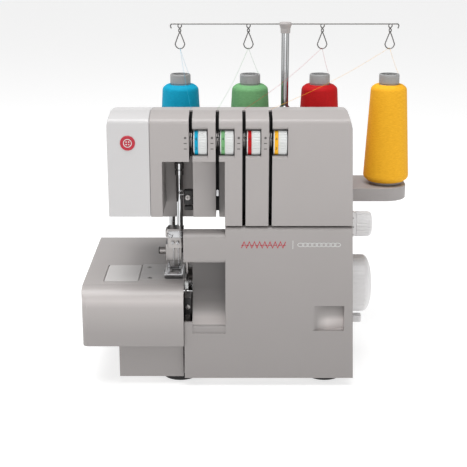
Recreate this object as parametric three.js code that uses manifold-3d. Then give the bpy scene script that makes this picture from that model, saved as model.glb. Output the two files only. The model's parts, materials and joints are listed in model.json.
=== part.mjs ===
// A four-thread overlock sewing machine with a free arm, its spool stand, thread guide and cones.
// Millimetres, +Z up, front towards -Y, origin on the table below the middle of the whole machine.
import * as THREE from "three";
import { mergeVertices } from "three/addons/utils/BufferGeometryUtils.js";
import Module from "manifold-3d";

const wasm = await Module();
wasm.setup();

// ---- Driving dimensions -------------------------------------------------------------------------
const CLEARANCE = 0.3; // between pieces that touch
const RUNNING = 0.1; // radial play of a shaft in its bush
const WALL = 2.6; // moulded covers
const FACETS = 24; // sides of a turned piece

const PANEL_FRONT = -121; // front plane of the looper cover and of the tension cover
const BODY_REAR = 48;
const PLATE_FRONT = -125;
const PLATE_REAR = 66;

const HEAD_LEFT = -149;
const FACE_JOINT = -107; // where the pale face cover meets the tension cover
const COLUMN_LEFT = -33.5;
const COLUMN_RIGHT_TOP = 91;
const SIDE_DRAFT = 8.5; // how much further out the right side is at the base
const PLATE_LEFT = -181;
const PLATE_RIGHT = -76;

const BASE_BOTTOM = 8.5;
const BASE_SPLIT = 24; // top of the base tray's rim under the column
const BASE_LEFT_TOP = 44; // top of the base under the free arm
const BED_TOP = 107;
const THROAT = 75.5; // from the bed to the underside of the head
const HEAD_HEIGHT = 103; // from the underside of the head to the crown
const COVER_JOINT = 172.5 - 107 + BED_TOP; // between the looper cover and the tension cover

const HEAD_BOTTOM = BED_TOP + THROAT;
const CROWN = HEAD_BOTTOM + HEAD_HEIGHT;

// Needle, presser foot and knives
const NEEDLE = { x: -81, y: -70, barRadius: 3.3 };
const PRESSER = { x: -90, y: -50, barRadius: 3.2 };
const NEEDLE_PLATE = { x0: -123, x1: -76.5, y0: -91, y1: -37, thickness: 2.7 };
const NEEDLE_XS = { left: -88, right: -83 };

// Thread tension
const SLOT = { first: -67, pitch: 26.15, width: 3.4, depth: 26, wall: 2.2 };
const DIAL = { radius: 17, width: 13.6, setBack: 14.5, z: CROWN - 28, play: 0.8 };
const WINDOW = { half: 12.5, bevel: 3, bevelDepth: 2.4, depth: 7 };
const LIFTER = { x0: -100.5, x1: -96.5, y: -30, z: HEAD_BOTTOM - 10, length: 60, droop: 25, pinRadius: 2.5 };
const RECESS = { left: -95.5, middle: -65.5, top: CROWN - 47, deep: 61, shallow: 15 };
const SKIRT = { left: -101, deep: 16, shallow: 4 }; // how far the recesses' rear walls hang below the head

// Drive
const SHAFT = { y: -41, z: BED_TOP - 20, radius: 5, left: -100 };
const HANDWHEEL = { radius: 31, x0: COLUMN_RIGHT_TOP + 9, x1: COLUMN_RIGHT_TOP + 33 };
const MOTOR = { y: 5, z: BED_TOP - 57, radius: 27, x0: -8, x1: 52, shaftRadius: 3 };
const PULLEY = { x0: 72, x1: 82, big: 25, small: 9, flange: 1.5, belt: 2 };
const UPRIGHTS = { left: [-28, -20], right: [62, 68], y: [-60, 24] };

// Controls on the right side
const LENGTH_DIAL = { y: -51, z: BED_TOP + 49.3, radius: 13.8, x0: COLUMN_RIGHT_TOP + 6, width: 24.2 };
const LEVER = { y: -50, z: BED_TOP - 57, travel: 16 };
const SWITCH = { y0: 19, y1: 41, z0: BED_TOP - 33, z1: BED_TOP - 15 };
const VENTS = { count: 7, left: -4, pitch: 9, width: 4, z0: BED_TOP - 65, z1: BED_TOP - 30 };
const INLET = { y0: 18, y1: 42, z0: BED_TOP - 67, z1: BED_TOP - 45 };

// Looper cover
const HINGE = { y: PANEL_FRONT + 7, z: 16, rodRadius: 2, x0: -56, x1: 80 };
const COVER = { left: -75.5, bottom: 9.2, leftTop: BED_TOP + 57.5, sill: 71 };
const SCOOP = { left: -67.5, right: -32.5, lip: 57.5, floor: 66, top: BED_TOP + 26.4, depth: 29 };
const GRIP = { x0: 56, x1: 88, z0: 61.3, z1: 88.5, depth: 8.5 };

// Spool stand, thread guide and cones
const STAND = { x0: -112, x1: 177, y0: 56, y1: 125, z0: 153.2, z1: 168.7, corner: 26, wall: 3 };
const CONES = { pitch: 80, middle: 34, y: 86, height: 128, baseRadius: 19.2, topRadius: 11.2 };
const SPOOL_PIN = { radius: 3.5, collar: 9, height: 98 };
const PACKAGE = { bottomRadius: 27, topRadius: 20.8 };
const POST = { x: 34, y: CONES.y, radius: 4.35, outerTop: 260, top: 346 };
const GUIDE = { z: 353.2, wire: 0.9, loopWidth: 11.9, loopDrop: 28.7 };
const LOOP_XS = [-86, -8, 76, 153];

const FOOT = { height: 8.2, radius: 20, xs: [-81, 71], ys: [-87.5, 26] };

// ---- Solids -------------------------------------------------------------------------------------
function solidOf(geometry) {
  const loose = geometry.index ? geometry.toNonIndexed() : geometry;
  const bare = new THREE.BufferGeometry();
  bare.setAttribute("position", loose.getAttribute("position"));
  const merged = mergeVertices(bare, 1e-4);
  const corners = merged.index.array;
  const kept = [];
  for (let i = 0; i < corners.length; i += 3) {
    const [a, b, c] = corners.slice(i, i + 3);
    if (a !== b && b !== c && c !== a) kept.push(a, b, c);
  }
  const vertProperties = merged.attributes.position.array;
  return new wasm.Manifold(new wasm.Mesh({ numProp: 3, vertProperties, triVerts: new Uint32Array(kept) }));
}

function geometryOf(solid) {
  const mesh = solid.getMesh();
  const geometry = new THREE.BufferGeometry();
  geometry.setAttribute("position", new THREE.BufferAttribute(new Float32Array(mesh.vertProperties), 3));
  geometry.setIndex(new THREE.BufferAttribute(new Uint32Array(mesh.triVerts), 1));
  geometry.computeVertexNormals();
  return geometry;
}

const join = (first, ...rest) => rest.reduce((sum, s) => sum.add(s), first);
const cut = (first, ...rest) => rest.reduce((left, s) => left.subtract(s), first);
const common = (first, ...rest) => rest.reduce((shared, s) => shared.intersect(s), first);

function box([x0, x1], [y0, y1], [z0, z1]) {
  const geometry = new THREE.BoxGeometry(x1 - x0, y1 - y0, z1 - z0);
  geometry.translate((x0 + x1) / 2, (y0 + y1) / 2, (z0 + z1) / 2);
  return solidOf(geometry);
}

const axisVector = (x, y, z) => new THREE.Vector3(x, y, z);
const OUTLINE_FRAMES = {
  x: new THREE.Matrix4().makeBasis(axisVector(0, 1, 0), axisVector(0, 0, 1), axisVector(1, 0, 0)),
  y: new THREE.Matrix4().makeBasis(axisVector(1, 0, 0), axisVector(0, 0, 1), axisVector(0, -1, 0)),
  z: new THREE.Matrix4(),
};

// An outline in the plane across the axis, pushed along it: (y, z) for x, (x, z) for y, (x, y) for z.
function prism(axis, outline, [from, to]) {
  const shape = new THREE.Shape(outline.map(([a, b]) => new THREE.Vector2(a, b)));
  const geometry = new THREE.ExtrudeGeometry(shape, { depth: to - from, bevelEnabled: false });
  geometry.applyMatrix4(OUTLINE_FRAMES[axis]);
  const start = axis === "y" ? to : from;
  geometry.translate(axis === "x" ? start : 0, axis === "y" ? start : 0, axis === "z" ? start : 0);
  return solidOf(geometry);
}

// Points along an arc, from one angle to the other, in degrees.
function arc([a, b], radius, from, to, steps = 6) {
  return Array.from({ length: steps + 1 }, (_, i) => {
    const angle = THREE.MathUtils.degToRad(from + ((to - from) * i) / steps);
    return [a + radius * Math.cos(angle), b + radius * Math.sin(angle)];
  });
}

function roundedRectangle([a0, a1], [b0, b1], radius, steps = 6) {
  return [
    ...arc([a1 - radius, b0 + radius], radius, -90, 0, steps),
    ...arc([a1 - radius, b1 - radius], radius, 0, 90, steps),
    ...arc([a0 + radius, b1 - radius], radius, 90, 180, steps),
    ...arc([a0 + radius, b0 + radius], radius, 180, 270, steps),
  ];
}

const LATHE_TURNS = {
  x: (g) => g.rotateZ(-Math.PI / 2),
  y: (g) => g,
  z: (g) => g.rotateX(Math.PI / 2),
};

// A profile of (radius, height) points turned round an axis through the centre.
function turned(axis, profile, centre = [0, 0, 0], facets = FACETS) {
  const closed = profile[0][0] > 0 ? [...profile, profile[0]] : profile;
  let area = 0;
  closed.forEach(([r, h], i) => {
    const [nextR, nextH] = closed[(i + 1) % closed.length];
    area += r * nextH - nextR * h;
  });
  const ordered = area > 0 ? closed : [...closed].reverse();
  const points = ordered.map(([r, h]) => new THREE.Vector2(r, h));
  const geometry = LATHE_TURNS[axis](new THREE.LatheGeometry(points, facets));
  return solidOf(geometry.translate(...centre));
}

// A round bar between two places along an axis, with the other two coordinates of its centre line.
function bar(axis, radius, [from, to], [p, q], facets = FACETS) {
  const centre = { x: [0, p, q], y: [p, 0, q], z: [p, q, 0] }[axis];
  return turned(axis, [[0, from], [radius, from], [radius, to], [0, to]], centre, facets);
}

// A round wire along a smooth curve through the points.
function wire(points, radius, steps, sides = 6) {
  const curve = new THREE.CatmullRomCurve3(points.map((p) => new THREE.Vector3(...p)), false, "centripetal");
  const section = new THREE.Shape(arc([0, 0], radius, 0, 360 - 360 / sides, sides - 1).map(
    ([a, b]) => new THREE.Vector2(a, b),
  ));
  return solidOf(new THREE.ExtrudeGeometry(section, { steps, extrudePath: curve, bevelEnabled: false }));
}

// ---- Materials ----------------------------------------------------------------------------------
const finish = (color, roughness, metalness = 0) =>
  new THREE.MeshStandardMaterial({ color, roughness, metalness });
const MATERIALS = {
  housing: finish(0xb4b0ae, 0.45),
  faceCover: finish(0xd2d0d0, 0.4),
  control: finish(0xd8d7d6, 0.4),
  dialDrum: finish(0xe6e8e6, 0.35),
  steel: finish(0x9c9894, 0.35, 1),
  chrome: finish(0xcfd2d4, 0.12, 1),
  casting: finish(0x8a8b8d, 0.55, 0.9),
  blackPlastic: finish(0x151413, 0.5),
  rubber: finish(0x1c1b1a, 0.85),
  brass: finish(0xb08d4a, 0.35, 1),
  cone: finish(0xb9b6b4, 0.5),
  thread: {
    blue: finish(0x0a92b7, 0.6),
    green: finish(0x7aa476, 0.6),
    red: finish(0xbc1e25, 0.6),
    yellow: finish(0xefaf32, 0.6),
  },
};

const machine = new THREE.Group();

function add(name, solid, material, [x, y, z] = [0, 0, 0], group = machine) {
  const mesh = new THREE.Mesh(geometryOf(solid), material);
  mesh.name = name;
  mesh.position.set(x, y, z);
  group.add(mesh);
  return mesh;
}

// ---- Body envelope, shared by the covers ---------------------------------------------------------
// The right side leans out towards the base.
const sideX = (z) => COLUMN_RIGHT_TOP + (SIDE_DRAFT * (CROWN - 10 - z)) / (CROWN - 10);

// The side view: upright front, a crown near the front, and a top that falls to the rear.
function sideProfile(inset, bottom) {
  const front = PANEL_FRONT + inset;
  const rear = BODY_REAR - inset;
  const top = CROWN - inset;
  return [
    [front, bottom],
    [front, top - 10],
    ...arc([front + 6, top - 10], 6, 180, 120, 3),
    [PANEL_FRONT + 24, top],
    [PANEL_FRONT + 60, top - 3],
    [PANEL_FRONT + 110, top - 11],
    [rear - 12, top - 21],
    ...arc([rear - 8, top - 31], 8, 70, 0, 3),
    [rear, bottom],
  ];
}

// The front view: the column with the head reaching out to the left over the bed.
function frontOutline(inset, bottom) {
  const top = CROWN + 10;
  const side = (z) => sideX(z) - inset;
  return [
    [COLUMN_LEFT + inset, bottom],
    [side(bottom), bottom],
    [side(CROWN - 14), CROWN - 14],
    [side(CROWN) - 3, CROWN],
    [side(CROWN) - 3, top],
    [HEAD_LEFT + inset + 2, top],
    [HEAD_LEFT + inset + 2, CROWN],
    [HEAD_LEFT + inset, CROWN - 12],
    [HEAD_LEFT + inset, HEAD_BOTTOM + inset],
    [COLUMN_LEFT + inset, HEAD_BOTTOM + inset],
  ];
}

function envelope(inset, bottom) {
  const sides = prism("x", sideProfile(inset, bottom), [HEAD_LEFT - 5, sideX(0) + 5]);
  return common(sides, prism("y", frontOutline(inset, bottom), [PANEL_FRONT - 5, BODY_REAR + 5]));
}

const slotXs = Array.from({ length: 4 }, (_, i) => SLOT.first + i * SLOT.pitch);
const slotEdge = SLOT.width / 2;
const slotFloors = [RECESS.top, HEAD_BOTTOM - SKIRT.shallow, COVER_JOINT, COVER_JOINT];
const dialY = PANEL_FRONT + DIAL.setBack;
const BEYOND = 20; // how far cutting tools run past what they cut

// The hollow body, before it is split into covers: walls, recess linings and thread channels.
function bodyShell() {
  const outer = envelope(0, BASE_SPLIT + CLEARANCE);
  const inner = envelope(WALL, BASE_SPLIT - BEYOND);
  const past = PANEL_FRONT - BEYOND;
  const needleRecess = [[RECESS.left, RECESS.middle], [past, PANEL_FRONT + RECESS.deep]];
  const stepRecess = [[RECESS.middle, COLUMN_LEFT], [past, PANEL_FRONT + RECESS.shallow]];
  const heights = [HEAD_BOTTOM - BEYOND, RECESS.top];
  const lining = ([[x0, x1], [y0, y1]]) =>
    box([x0 - WALL, x1 + WALL], [y0, y1 + WALL], [HEAD_BOTTOM, RECESS.top + WALL]);
  const channel = (x, i) =>
    box(
      [x - slotEdge - SLOT.wall, x + slotEdge + SLOT.wall],
      [PANEL_FRONT, PANEL_FRONT + SLOT.depth + SLOT.wall],
      [slotFloors[i], CROWN + BEYOND],
    );
  const additions = join(lining(needleRecess), lining(stepRecess), ...slotXs.map(channel));
  const rearWall = (setBack) => [PANEL_FRONT + setBack, PANEL_FRONT + setBack + WALL];
  const hanging = (drop) => [HEAD_BOTTOM - drop, HEAD_BOTTOM + WALL];
  const skirts = join(
    box([SKIRT.left, RECESS.middle + WALL], rearWall(RECESS.deep), hanging(SKIRT.deep)),
    box([RECESS.middle, COLUMN_LEFT + WALL], rearWall(RECESS.shallow), hanging(SKIRT.shallow)),
  );
  const filled = join(cut(outer, inner), common(additions, outer), skirts);
  const slotCuts = slotXs.map((x, i) =>
    box([x - slotEdge, x + slotEdge], [past, PANEL_FRONT + SLOT.depth], [slotFloors[i] - 1, CROWN + BEYOND]),
  );
  const dialCuts = slotXs.map((x) => {
    const across = [x + slotEdge - 0.1, x + slotEdge + DIAL.width + 2 * DIAL.play];
    const { half, bevel, bevelDepth, depth } = WINDOW;
    const upper = [
      [PANEL_FRONT + depth, half - 2.5],
      [PANEL_FRONT + bevelDepth, half],
      [PANEL_FRONT, half + bevel],
      [past, half + bevel],
    ];
    const lower = [...upper].reverse().map(([y, z]) => [y, -z]);
    const mouth = [...lower, ...upper].map(([y, z]) => [y, DIAL.z + z]);
    return join(bar("x", DIAL.radius + DIAL.play, across, [dialY, DIAL.z]), prism("x", mouth, across));
  });
  return cut(filled, box(...needleRecess, heights), box(...stepRecess, heights), ...slotCuts, ...dialCuts);
}

const shell = bodyShell();
const COVER_SPLIT = PANEL_FRONT + SCOOP.depth + WALL + 1; // where the tension cover meets the rear cover
const everyX = [HEAD_LEFT - BEYOND, sideX(0) + BEYOND];
const everyZ = [-BEYOND, CROWN + BEYOND];

function faceCover() {
  const region = box([HEAD_LEFT - BEYOND, FACE_JOINT - CLEARANCE], [PANEL_FRONT - 5, BODY_REAR + 5], everyZ);
  return common(shell, region);
}

function tensionCover() {
  const region = box(
    [FACE_JOINT, everyX[1]],
    [PANEL_FRONT - 5, COVER_SPLIT - CLEARANCE],
    [COVER_JOINT + 0.7, everyZ[1]],
  );
  return common(shell, region);
}

function rearCover() {
  const rear = box([FACE_JOINT, everyX[1]], [COVER_SPLIT, BODY_REAR + 5], everyZ);
  const rightSide = box(
    [COLUMN_LEFT + 40, everyX[1]],
    [PANEL_FRONT + 12.5, COVER_SPLIT + 1],
    [0, COVER_JOINT - 1.3],
  );
  const hanger = [LIFTER.y - 6, LIFTER.y + 6];
  const bracket = box([LIFTER.x0 - 4, LIFTER.x0 - 0.5], hanger, [LIFTER.z - 6, HEAD_BOTTOM + 1]);
  const pin = bar("x", LIFTER.pinRadius, [LIFTER.x0 - 1.5, LIFTER.x1 + 1], [LIFTER.y, LIFTER.z], 16);
  const body = join(common(shell, join(rear, rightSide)), bracket, pin);
  const throughSide = [COLUMN_RIGHT_TOP - BEYOND, sideX(0) + BEYOND];
  const vents = Array.from({ length: VENTS.count }, (_, i) => {
    const left = VENTS.left + i * VENTS.pitch;
    return box([left, left + VENTS.width], [BODY_REAR - 10, BODY_REAR + 10], [VENTS.z0, VENTS.z1]);
  });
  return cut(
    body,
    box([COLUMN_LEFT - 5, COLUMN_LEFT + 5], [COVER_SPLIT - 5, 20], [0, BED_TOP - 7]),
    bar("x", SHAFT.radius + 2, throughSide, [SHAFT.y, SHAFT.z]),
    bar("x", 4.6, throughSide, [LENGTH_DIAL.y, LENGTH_DIAL.z]),
    box(throughSide, [LEVER.y - 3, LEVER.y + 3], [LEVER.z - 3.6 - LEVER.travel, LEVER.z + 3.6]),
    box(throughSide, [SWITCH.y0, SWITCH.y1], [SWITCH.z0, SWITCH.z1]),
    box(throughSide, [INLET.y0, INLET.y1], [INLET.z0, INLET.z1]),
    bar("z", PRESSER.barRadius + 0.5, [HEAD_BOTTOM - 5, HEAD_BOTTOM + 5], [PRESSER.x, PRESSER.y]),
    bar("z", NEEDLE.barRadius + 0.6, [RECESS.top - 5, RECESS.top + 5], [NEEDLE.x, NEEDLE.y]),
    ...vents,
  );
}

// ---- Base, chassis and free arm ------------------------------------------------------------------
const BASE = { left: -143.5, right: sideX(BASE_SPLIT) - 0.6, frontLeft: -115, frontRight: -106, wall: 3 };
const lugZ = HINGE.z;

function baseTray() {
  const { left, right, frontLeft, frontRight, wall } = BASE;
  const step = PLATE_RIGHT - 0.8;
  const outer = join(
    box([left, step], [frontLeft, BODY_REAR], [BASE_BOTTOM, BASE_LEFT_TOP]),
    box([step - 10, right], [frontRight, BODY_REAR], [BASE_BOTTOM, BASE_SPLIT]),
  );
  const floor = BASE_BOTTOM + wall;
  const inner = join(
    box([left + wall, step - wall], [frontLeft + wall, BODY_REAR - wall], [floor, BASE_LEFT_TOP + BEYOND]),
    box(
      [step - wall - 1, right - wall],
      [frontRight + wall, BODY_REAR - wall],
      [floor, BASE_LEFT_TOP + BEYOND],
    ),
  );
  const lug = (x) =>
    join(
      box([x, x + 6], [HINGE.y, frontRight + 1], [lugZ - 4, lugZ + 4]),
      bar("x", 4, [x, x + 6], [HINGE.y, lugZ], 16),
    );
  const lugs = join(lug(HINGE.x0 + 6), lug(HINGE.x1 - 12));
  const bore = bar("x", HINGE.rodRadius + CLEARANCE, [HINGE.x0 - 5, HINGE.x1 + 5], [HINGE.y, HINGE.z], 16);
  return cut(join(cut(outer, inner), lugs), bore);
}

function chassisFrame() {
  const floor = BASE_BOTTOM + BASE.wall;
  const beam = [CROWN - 39, CROWN - 23];
  const motorFoot = [floor + 5, MOTOR.z - MOTOR.radius - CLEARANCE];
  const frame = join(
    box([-120, COLUMN_RIGHT_TOP - 3], [-88, 36], [floor + 3, floor + 8.5]),
    box(UPRIGHTS.left, UPRIGHTS.y, [floor + 4, beam[1]]),
    box(UPRIGHTS.right, UPRIGHTS.y, [floor + 4, beam[1]]),
    box([MOTOR.x0 + 10, MOTOR.x1 - 10], [MOTOR.y - 6, MOTOR.y + 6], motorFoot),
    box([-100, UPRIGHTS.right[1]], [-40, -22], beam),
    box([PRESSER.x - 8, NEEDLE.x + 7], [NEEDLE.y - 8, -39], [beam[0], beam[0] + 8]),
    box([-120, UPRIGHTS.left[1]], [-44, -38], [floor + 4, SHAFT.z - 11]),
    ...[-1, 1].map((side) => bar("z", 5, [BASE_BOTTOM + BASE.wall + CLEARANCE, floor + 4], [side * 70, 0])),
  );
  return cut(
    frame,
    bar("x", SHAFT.radius + RUNNING, [UPRIGHTS.left[0] - 5, UPRIGHTS.right[1] + 5], [SHAFT.y, SHAFT.z]),
    bar("x", MOTOR.shaftRadius + 1.5, [UPRIGHTS.right[0] - 5, UPRIGHTS.right[1] + 5], [MOTOR.y, MOTOR.z]),
    bar("z", NEEDLE.barRadius + 0.4, [beam[0] - 5, beam[1] + 5], [NEEDLE.x, NEEDLE.y], 16),
    bar("z", PRESSER.barRadius + 0.4, [beam[0] - 5, beam[1] + 5], [PRESSER.x, PRESSER.y], 16),
    ...[LOWER_LOOPER, UPPER_LOOPER].map(({ x, z }) => bar("y", LOOPER_SHAFT + 0.3, [-50, -30], [x, z], 16)),
  );
}

const ARM = { left: -168, right: COLUMN_LEFT - 0.5, front: -104, rear: 60, wall: 2.5 };
const PLATE_THICKNESS = 2.7;

function freeArmCover() {
  const { left, right, front, rear, wall } = ARM;
  const bottom = BASE_LEFT_TOP + CLEARANCE;
  const top = BED_TOP - PLATE_THICKNESS - CLEARANCE;
  const outer = prism("z", roundedRectangle([left, right], [front, rear], 6, 3), [bottom, top]);
  const squareEnd = box([right - 10, right], [front, rear], [bottom, top]);
  const inner = box([left + wall, right + 5], [front + wall, rear - wall], [bottom - 5, top - wall]);
  const floor = box([left + 1, BASE.left + 2], [front + 1, rear - 1], [bottom, bottom + wall]);
  return cut(
    join(cut(join(outer, squareEnd), inner), floor),
    box([-110, -52], [-92, -38], [top - 10, top + 5]),
    box([PLATE_RIGHT - 3, right + 5], [front - 5, COVER_SPLIT + 1], [bottom - 5, top + 5]),
  );
}

// ---- Cloth plate ---------------------------------------------------------------------------------
const INSERT = { x0: -159, x1: -124, y0: -96, y1: -42, thickness: 1.5 };

function clothPlateBody(inset) {
  const apronBottom = BASE_LEFT_TOP + 1.6 - (inset ? BEYOND : 0);
  const front = PLATE_FRONT + inset;
  const top = BED_TOP - inset;
  const rear = PLATE_REAR - inset;
  const profile = [
    [front + 1, apronBottom],
    [front, BED_TOP - 24],
    ...arc([front + 14, top - 15], 14, 180, 112, 6),
    [front + 16, top],
    [rear, top],
    [rear, BED_TOP - 12],
    ...(inset ? [] : [[rear - PLATE_THICKNESS, BED_TOP - 12]]),
    ...(inset ? [[rear, apronBottom]] : [[rear - PLATE_THICKNESS, apronBottom]]),
  ];
  const right = PLATE_RIGHT + (inset ? BEYOND : 0);
  const plan = [
    [right, front - 1],
    [PLATE_LEFT + inset + 8, front - 1],
    ...arc([PLATE_LEFT + inset + 7, front + 7], 6, 260, 190, 4),
    [PLATE_LEFT + inset, rear + 1],
    [right, rear + 1],
  ];
  const lengthwise = prism("x", profile, [PLATE_LEFT - 5, right]);
  return common(lengthwise, prism("z", plan, [apronBottom - 5, BED_TOP + 5]));
}

function clothPlate() {
  const hollow = clothPlateBody(PLATE_THICKNESS);
  const behind = box([PLATE_LEFT - 5, PLATE_RIGHT + 5], [PLATE_REAR - 12, PLATE_REAR + 5], [0, BED_TOP - 12]);
  const plateGap = CLEARANCE;
  return cut(
    clothPlateBody(0),
    hollow,
    behind,
    box(
      [NEEDLE_PLATE.x0 - plateGap, PLATE_RIGHT + 5],
      [NEEDLE_PLATE.y0 - plateGap, NEEDLE_PLATE.y1 + plateGap],
      [BED_TOP - 10, BED_TOP + 5],
    ),
    box(
      [INSERT.x0 - 1.1, INSERT.x1 + plateGap],
      [INSERT.y0 - plateGap, INSERT.y1 + plateGap],
      [BED_TOP - INSERT.thickness - 0.1, BED_TOP + 5],
    ),
  );
}

const plateInsert = () =>
  prism(
    "z",
    roundedRectangle([INSERT.x0, INSERT.x1], [INSERT.y0, INSERT.y1], 1.5, 2),
    [BED_TOP - INSERT.thickness + 0.2, BED_TOP + 0.2],
  );

// Feed slots: left of the needles, right of them, and behind them. The teeth rest one lift below the bed.
const FEED_ROWS = [
  { x0: -97, x1: -94.4, y0: -84 },
  { x0: -80.6, x1: -78, y0: -84 },
  { x0: -89.5, x1: -86.9, y0: -61 },
];
const FEED = { rear: -44, lift: 1.5, play: 0.5, teeth: 6.5, bar: 8 };

function needlePlate() {
  const { x0, x1, y0, y1, thickness } = NEEDLE_PLATE;
  const through = [BED_TOP - 10, BED_TOP + 5];
  const slots = FEED_ROWS.map((row) => box([row.x0, row.x1], [row.y0, FEED.rear], through));
  const needleHole = box(
    [NEEDLE_XS.left - 2.2, NEEDLE_XS.right + 1.5],
    [NEEDLE.y - 3, NEEDLE.y + 3],
    through,
  );
  return cut(box([x0, x1], [y0, y1], [BED_TOP - thickness, BED_TOP]), needleHole, ...slots);
}

function feedDog() {
  const { rear, lift, play, teeth, bar: depth } = FEED;
  const top = BED_TOP - lift;
  const rows = FEED_ROWS.map((row) =>
    box([row.x0 + play, row.x1 - play], [row.y0 + 2 * play, rear - play], [top - teeth, top]),
  );
  const barTop = top - NEEDLE_PLATE.thickness - 2 * CLEARANCE;
  const across = [FEED_ROWS[0].x0 - 0.4, FEED_ROWS[1].x1 + 0.4];
  return join(box(across, [rear - 3.5, rear + 0.8], [barTop - depth, barTop]), ...rows);
}

// ---- Looper cover --------------------------------------------------------------------------------
const F = PANEL_FRONT;

// The upright panel with its top flange, from the bottom edge to a given height.
const panelProfile = (top, bottom, radius, flange) => [
  [F, bottom],
  ...arc([F + radius, top - radius], radius, 180, 90, 5),
  [F + flange, top],
  [F + flange, top - WALL],
  ...arc([F + radius, top - radius], radius - WALL, 90, 180, 5),
  [F + WALL, bottom],
];

// The chute for trimmings: an upright back that curves forward into a floor at the lip.
function scoopProfile() {
  const { lip, floor, top, depth } = SCOOP;
  const centre = [F + 2, floor + depth - 2];
  const inner = depth - 2;
  return [
    [F, lip],
    [F + 1.2, lip + 1.2],
    [F + 1.2, floor - 1],
    ...arc(centre, inner, -90, 0, 8),
    [F + depth, top],
    [F + 6, top],
    ...arc([F + 6, top + 6], 6, 270, 180, 4),
    [F, top + 12],
    [F + WALL, top + 12],
    [F + WALL, top + 6],
    [F + 6, top + WALL],
    [F + depth + WALL, top + WALL],
    ...arc(centre, inner + WALL, 0, -85, 8),
    [F + WALL, lip],
  ];
}

function looperCover() {
  const { left, bottom, leftTop, sill } = COVER;
  const { lip, top, right, depth, floor } = SCOOP;
  const middle = COLUMN_LEFT + 0.8;
  const rightEdge = (z) => sideX(z) - 0.2;
  const topZ = COVER_JOINT - 1;
  const upperLeft = prism("x", panelProfile(leftTop, top + 6, 6, 20), [left, middle]);
  const brow = [
    [F, top + 6.1],
    ...arc([F + 6, top + 6], 6, 180, 270, 4),
    [F + 20, top],
    [F + 20, top + WALL],
    [F + 6, top + WALL],
    [F + WALL, top + 6.1],
  ];
  const underside = prism("x", brow, [left, SCOOP.left + 1]);
  const lowerLeft = box([left, middle], [F, F + WALL], [bottom, lip + 1]);
  const knifeGuard = box([left, SCOOP.left + 0.5], [F, F + WALL], [lip, sill]);
  const scoop = prism("x", scoopProfile(), [SCOOP.left, right]);
  const endOutline = [
    [F, lip],
    [F + 6, lip + 2],
    [F + depth + WALL, floor + depth],
    [F + depth + WALL, top + WALL],
    [F + 24, leftTop - 1],
    [F, leftTop - 1],
  ];
  const endPlate = prism("x", endOutline, [right - 0.2, right + WALL]);
  const main = prism("x", panelProfile(topZ, bottom, 4, 9), [middle - 0.5, rightEdge(0) + 5]);
  const sideWall = box([right + 50, rightEdge(0) + 5], [F + 1, F + 12], [HINGE.z + 8, topZ - 3]);
  const sideInner = prism("y", [[right + 40, -5], [rightEdge(-5) - WALL, -5], [rightEdge(topZ) - WALL, topZ],
    [right + 40, topZ]], [F + 0.9, F + 20]);
  const outline = prism("y", [[left, bottom], [rightEdge(bottom), bottom], [rightEdge(topZ), topZ + 1],
    [left, topZ + 1]], [F - 5, F + 60]);
  const gripBlock = box(
    [GRIP.x0 - 3, GRIP.x1 + 3],
    [F + 1, F + GRIP.depth + 2.5],
    [GRIP.z0 - 3, GRIP.z1 + 3],
  );
  const gripRadius = ((GRIP.x1 - GRIP.x0 - 4) ** 2 + GRIP.depth ** 2) / (2 * GRIP.depth);
  const gripAngle = THREE.MathUtils.radToDeg(Math.asin((GRIP.x1 - GRIP.x0 - 4) / gripRadius));
  const gripScoop = prism("z", [[GRIP.x1, F - 5], [GRIP.x1, F + GRIP.depth],
    ...arc([GRIP.x1 - 4, F + GRIP.depth - gripRadius], gripRadius, 90, 90 + gripAngle, 8), [GRIP.x0, F - 5]],
  [GRIP.z0, GRIP.z1]);
  const lug = (x) => join(
    box([x, x + 6], [F + WALL - 0.5, HINGE.y], [HINGE.z - 4, HINGE.z + 4]),
    bar("x", 4, [x, x + 6], [HINGE.y, HINGE.z], 16),
  );
  const bore = bar("x", HINGE.rodRadius + CLEARANCE, [HINGE.x0, HINGE.x1 + 5], [HINGE.y, HINGE.z], 16);
  const body = join(
    upperLeft,
    underside,
    lowerLeft,
    knifeGuard,
    scoop,
    endPlate,
    main,
    cut(sideWall, sideInner),
    gripBlock,
    lug(HINGE.x0 + 16),
    lug(HINGE.x1 - 30),
  );
  return cut(common(body, outline), gripScoop, bore);
}

const coverHingeRod = () =>
  bar("x", HINGE.rodRadius, [HINGE.x0, HINGE.x1], [HINGE.y, HINGE.z], 16);

// ---- Stitching parts -----------------------------------------------------------------------------
const CLAMP = { x0: -94, x1: -77, y0: -80, y1: -62.3, z0: BED_TOP + 31, z1: BED_TOP + 51 };
const FOOT_PIN = { y: -56, z: BED_TOP + 5.5, radius: 1.5 };

function presserFoot() {
  const sole = prism("x", [[-87, BED_TOP + CLEARANCE], [FOOT_PIN.y, BED_TOP + CLEARANCE],
    [-48, BED_TOP + 1.6], [-48, BED_TOP + 3], [-85, BED_TOP + 3], [-92, BED_TOP + 6.5],
    [-92.6, BED_TOP + 5.2]], [-97, -78]);
  const lug = (x) => box([x, x + 2], [FOOT_PIN.y - 3, FOOT_PIN.y + 3], [BED_TOP + 2, BED_TOP + 8]);
  const pin = bar("x", FOOT_PIN.radius, [-95, -81], [FOOT_PIN.y, FOOT_PIN.z], 12);
  const needleSlot = box([NEEDLE_XS.left - 2.5, NEEDLE_XS.right + 2], [-77, -63], [BED_TOP - 5, BED_TOP + 9]);
  return cut(join(sole, lug(-95), lug(-83), pin), needleSlot);
}

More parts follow.
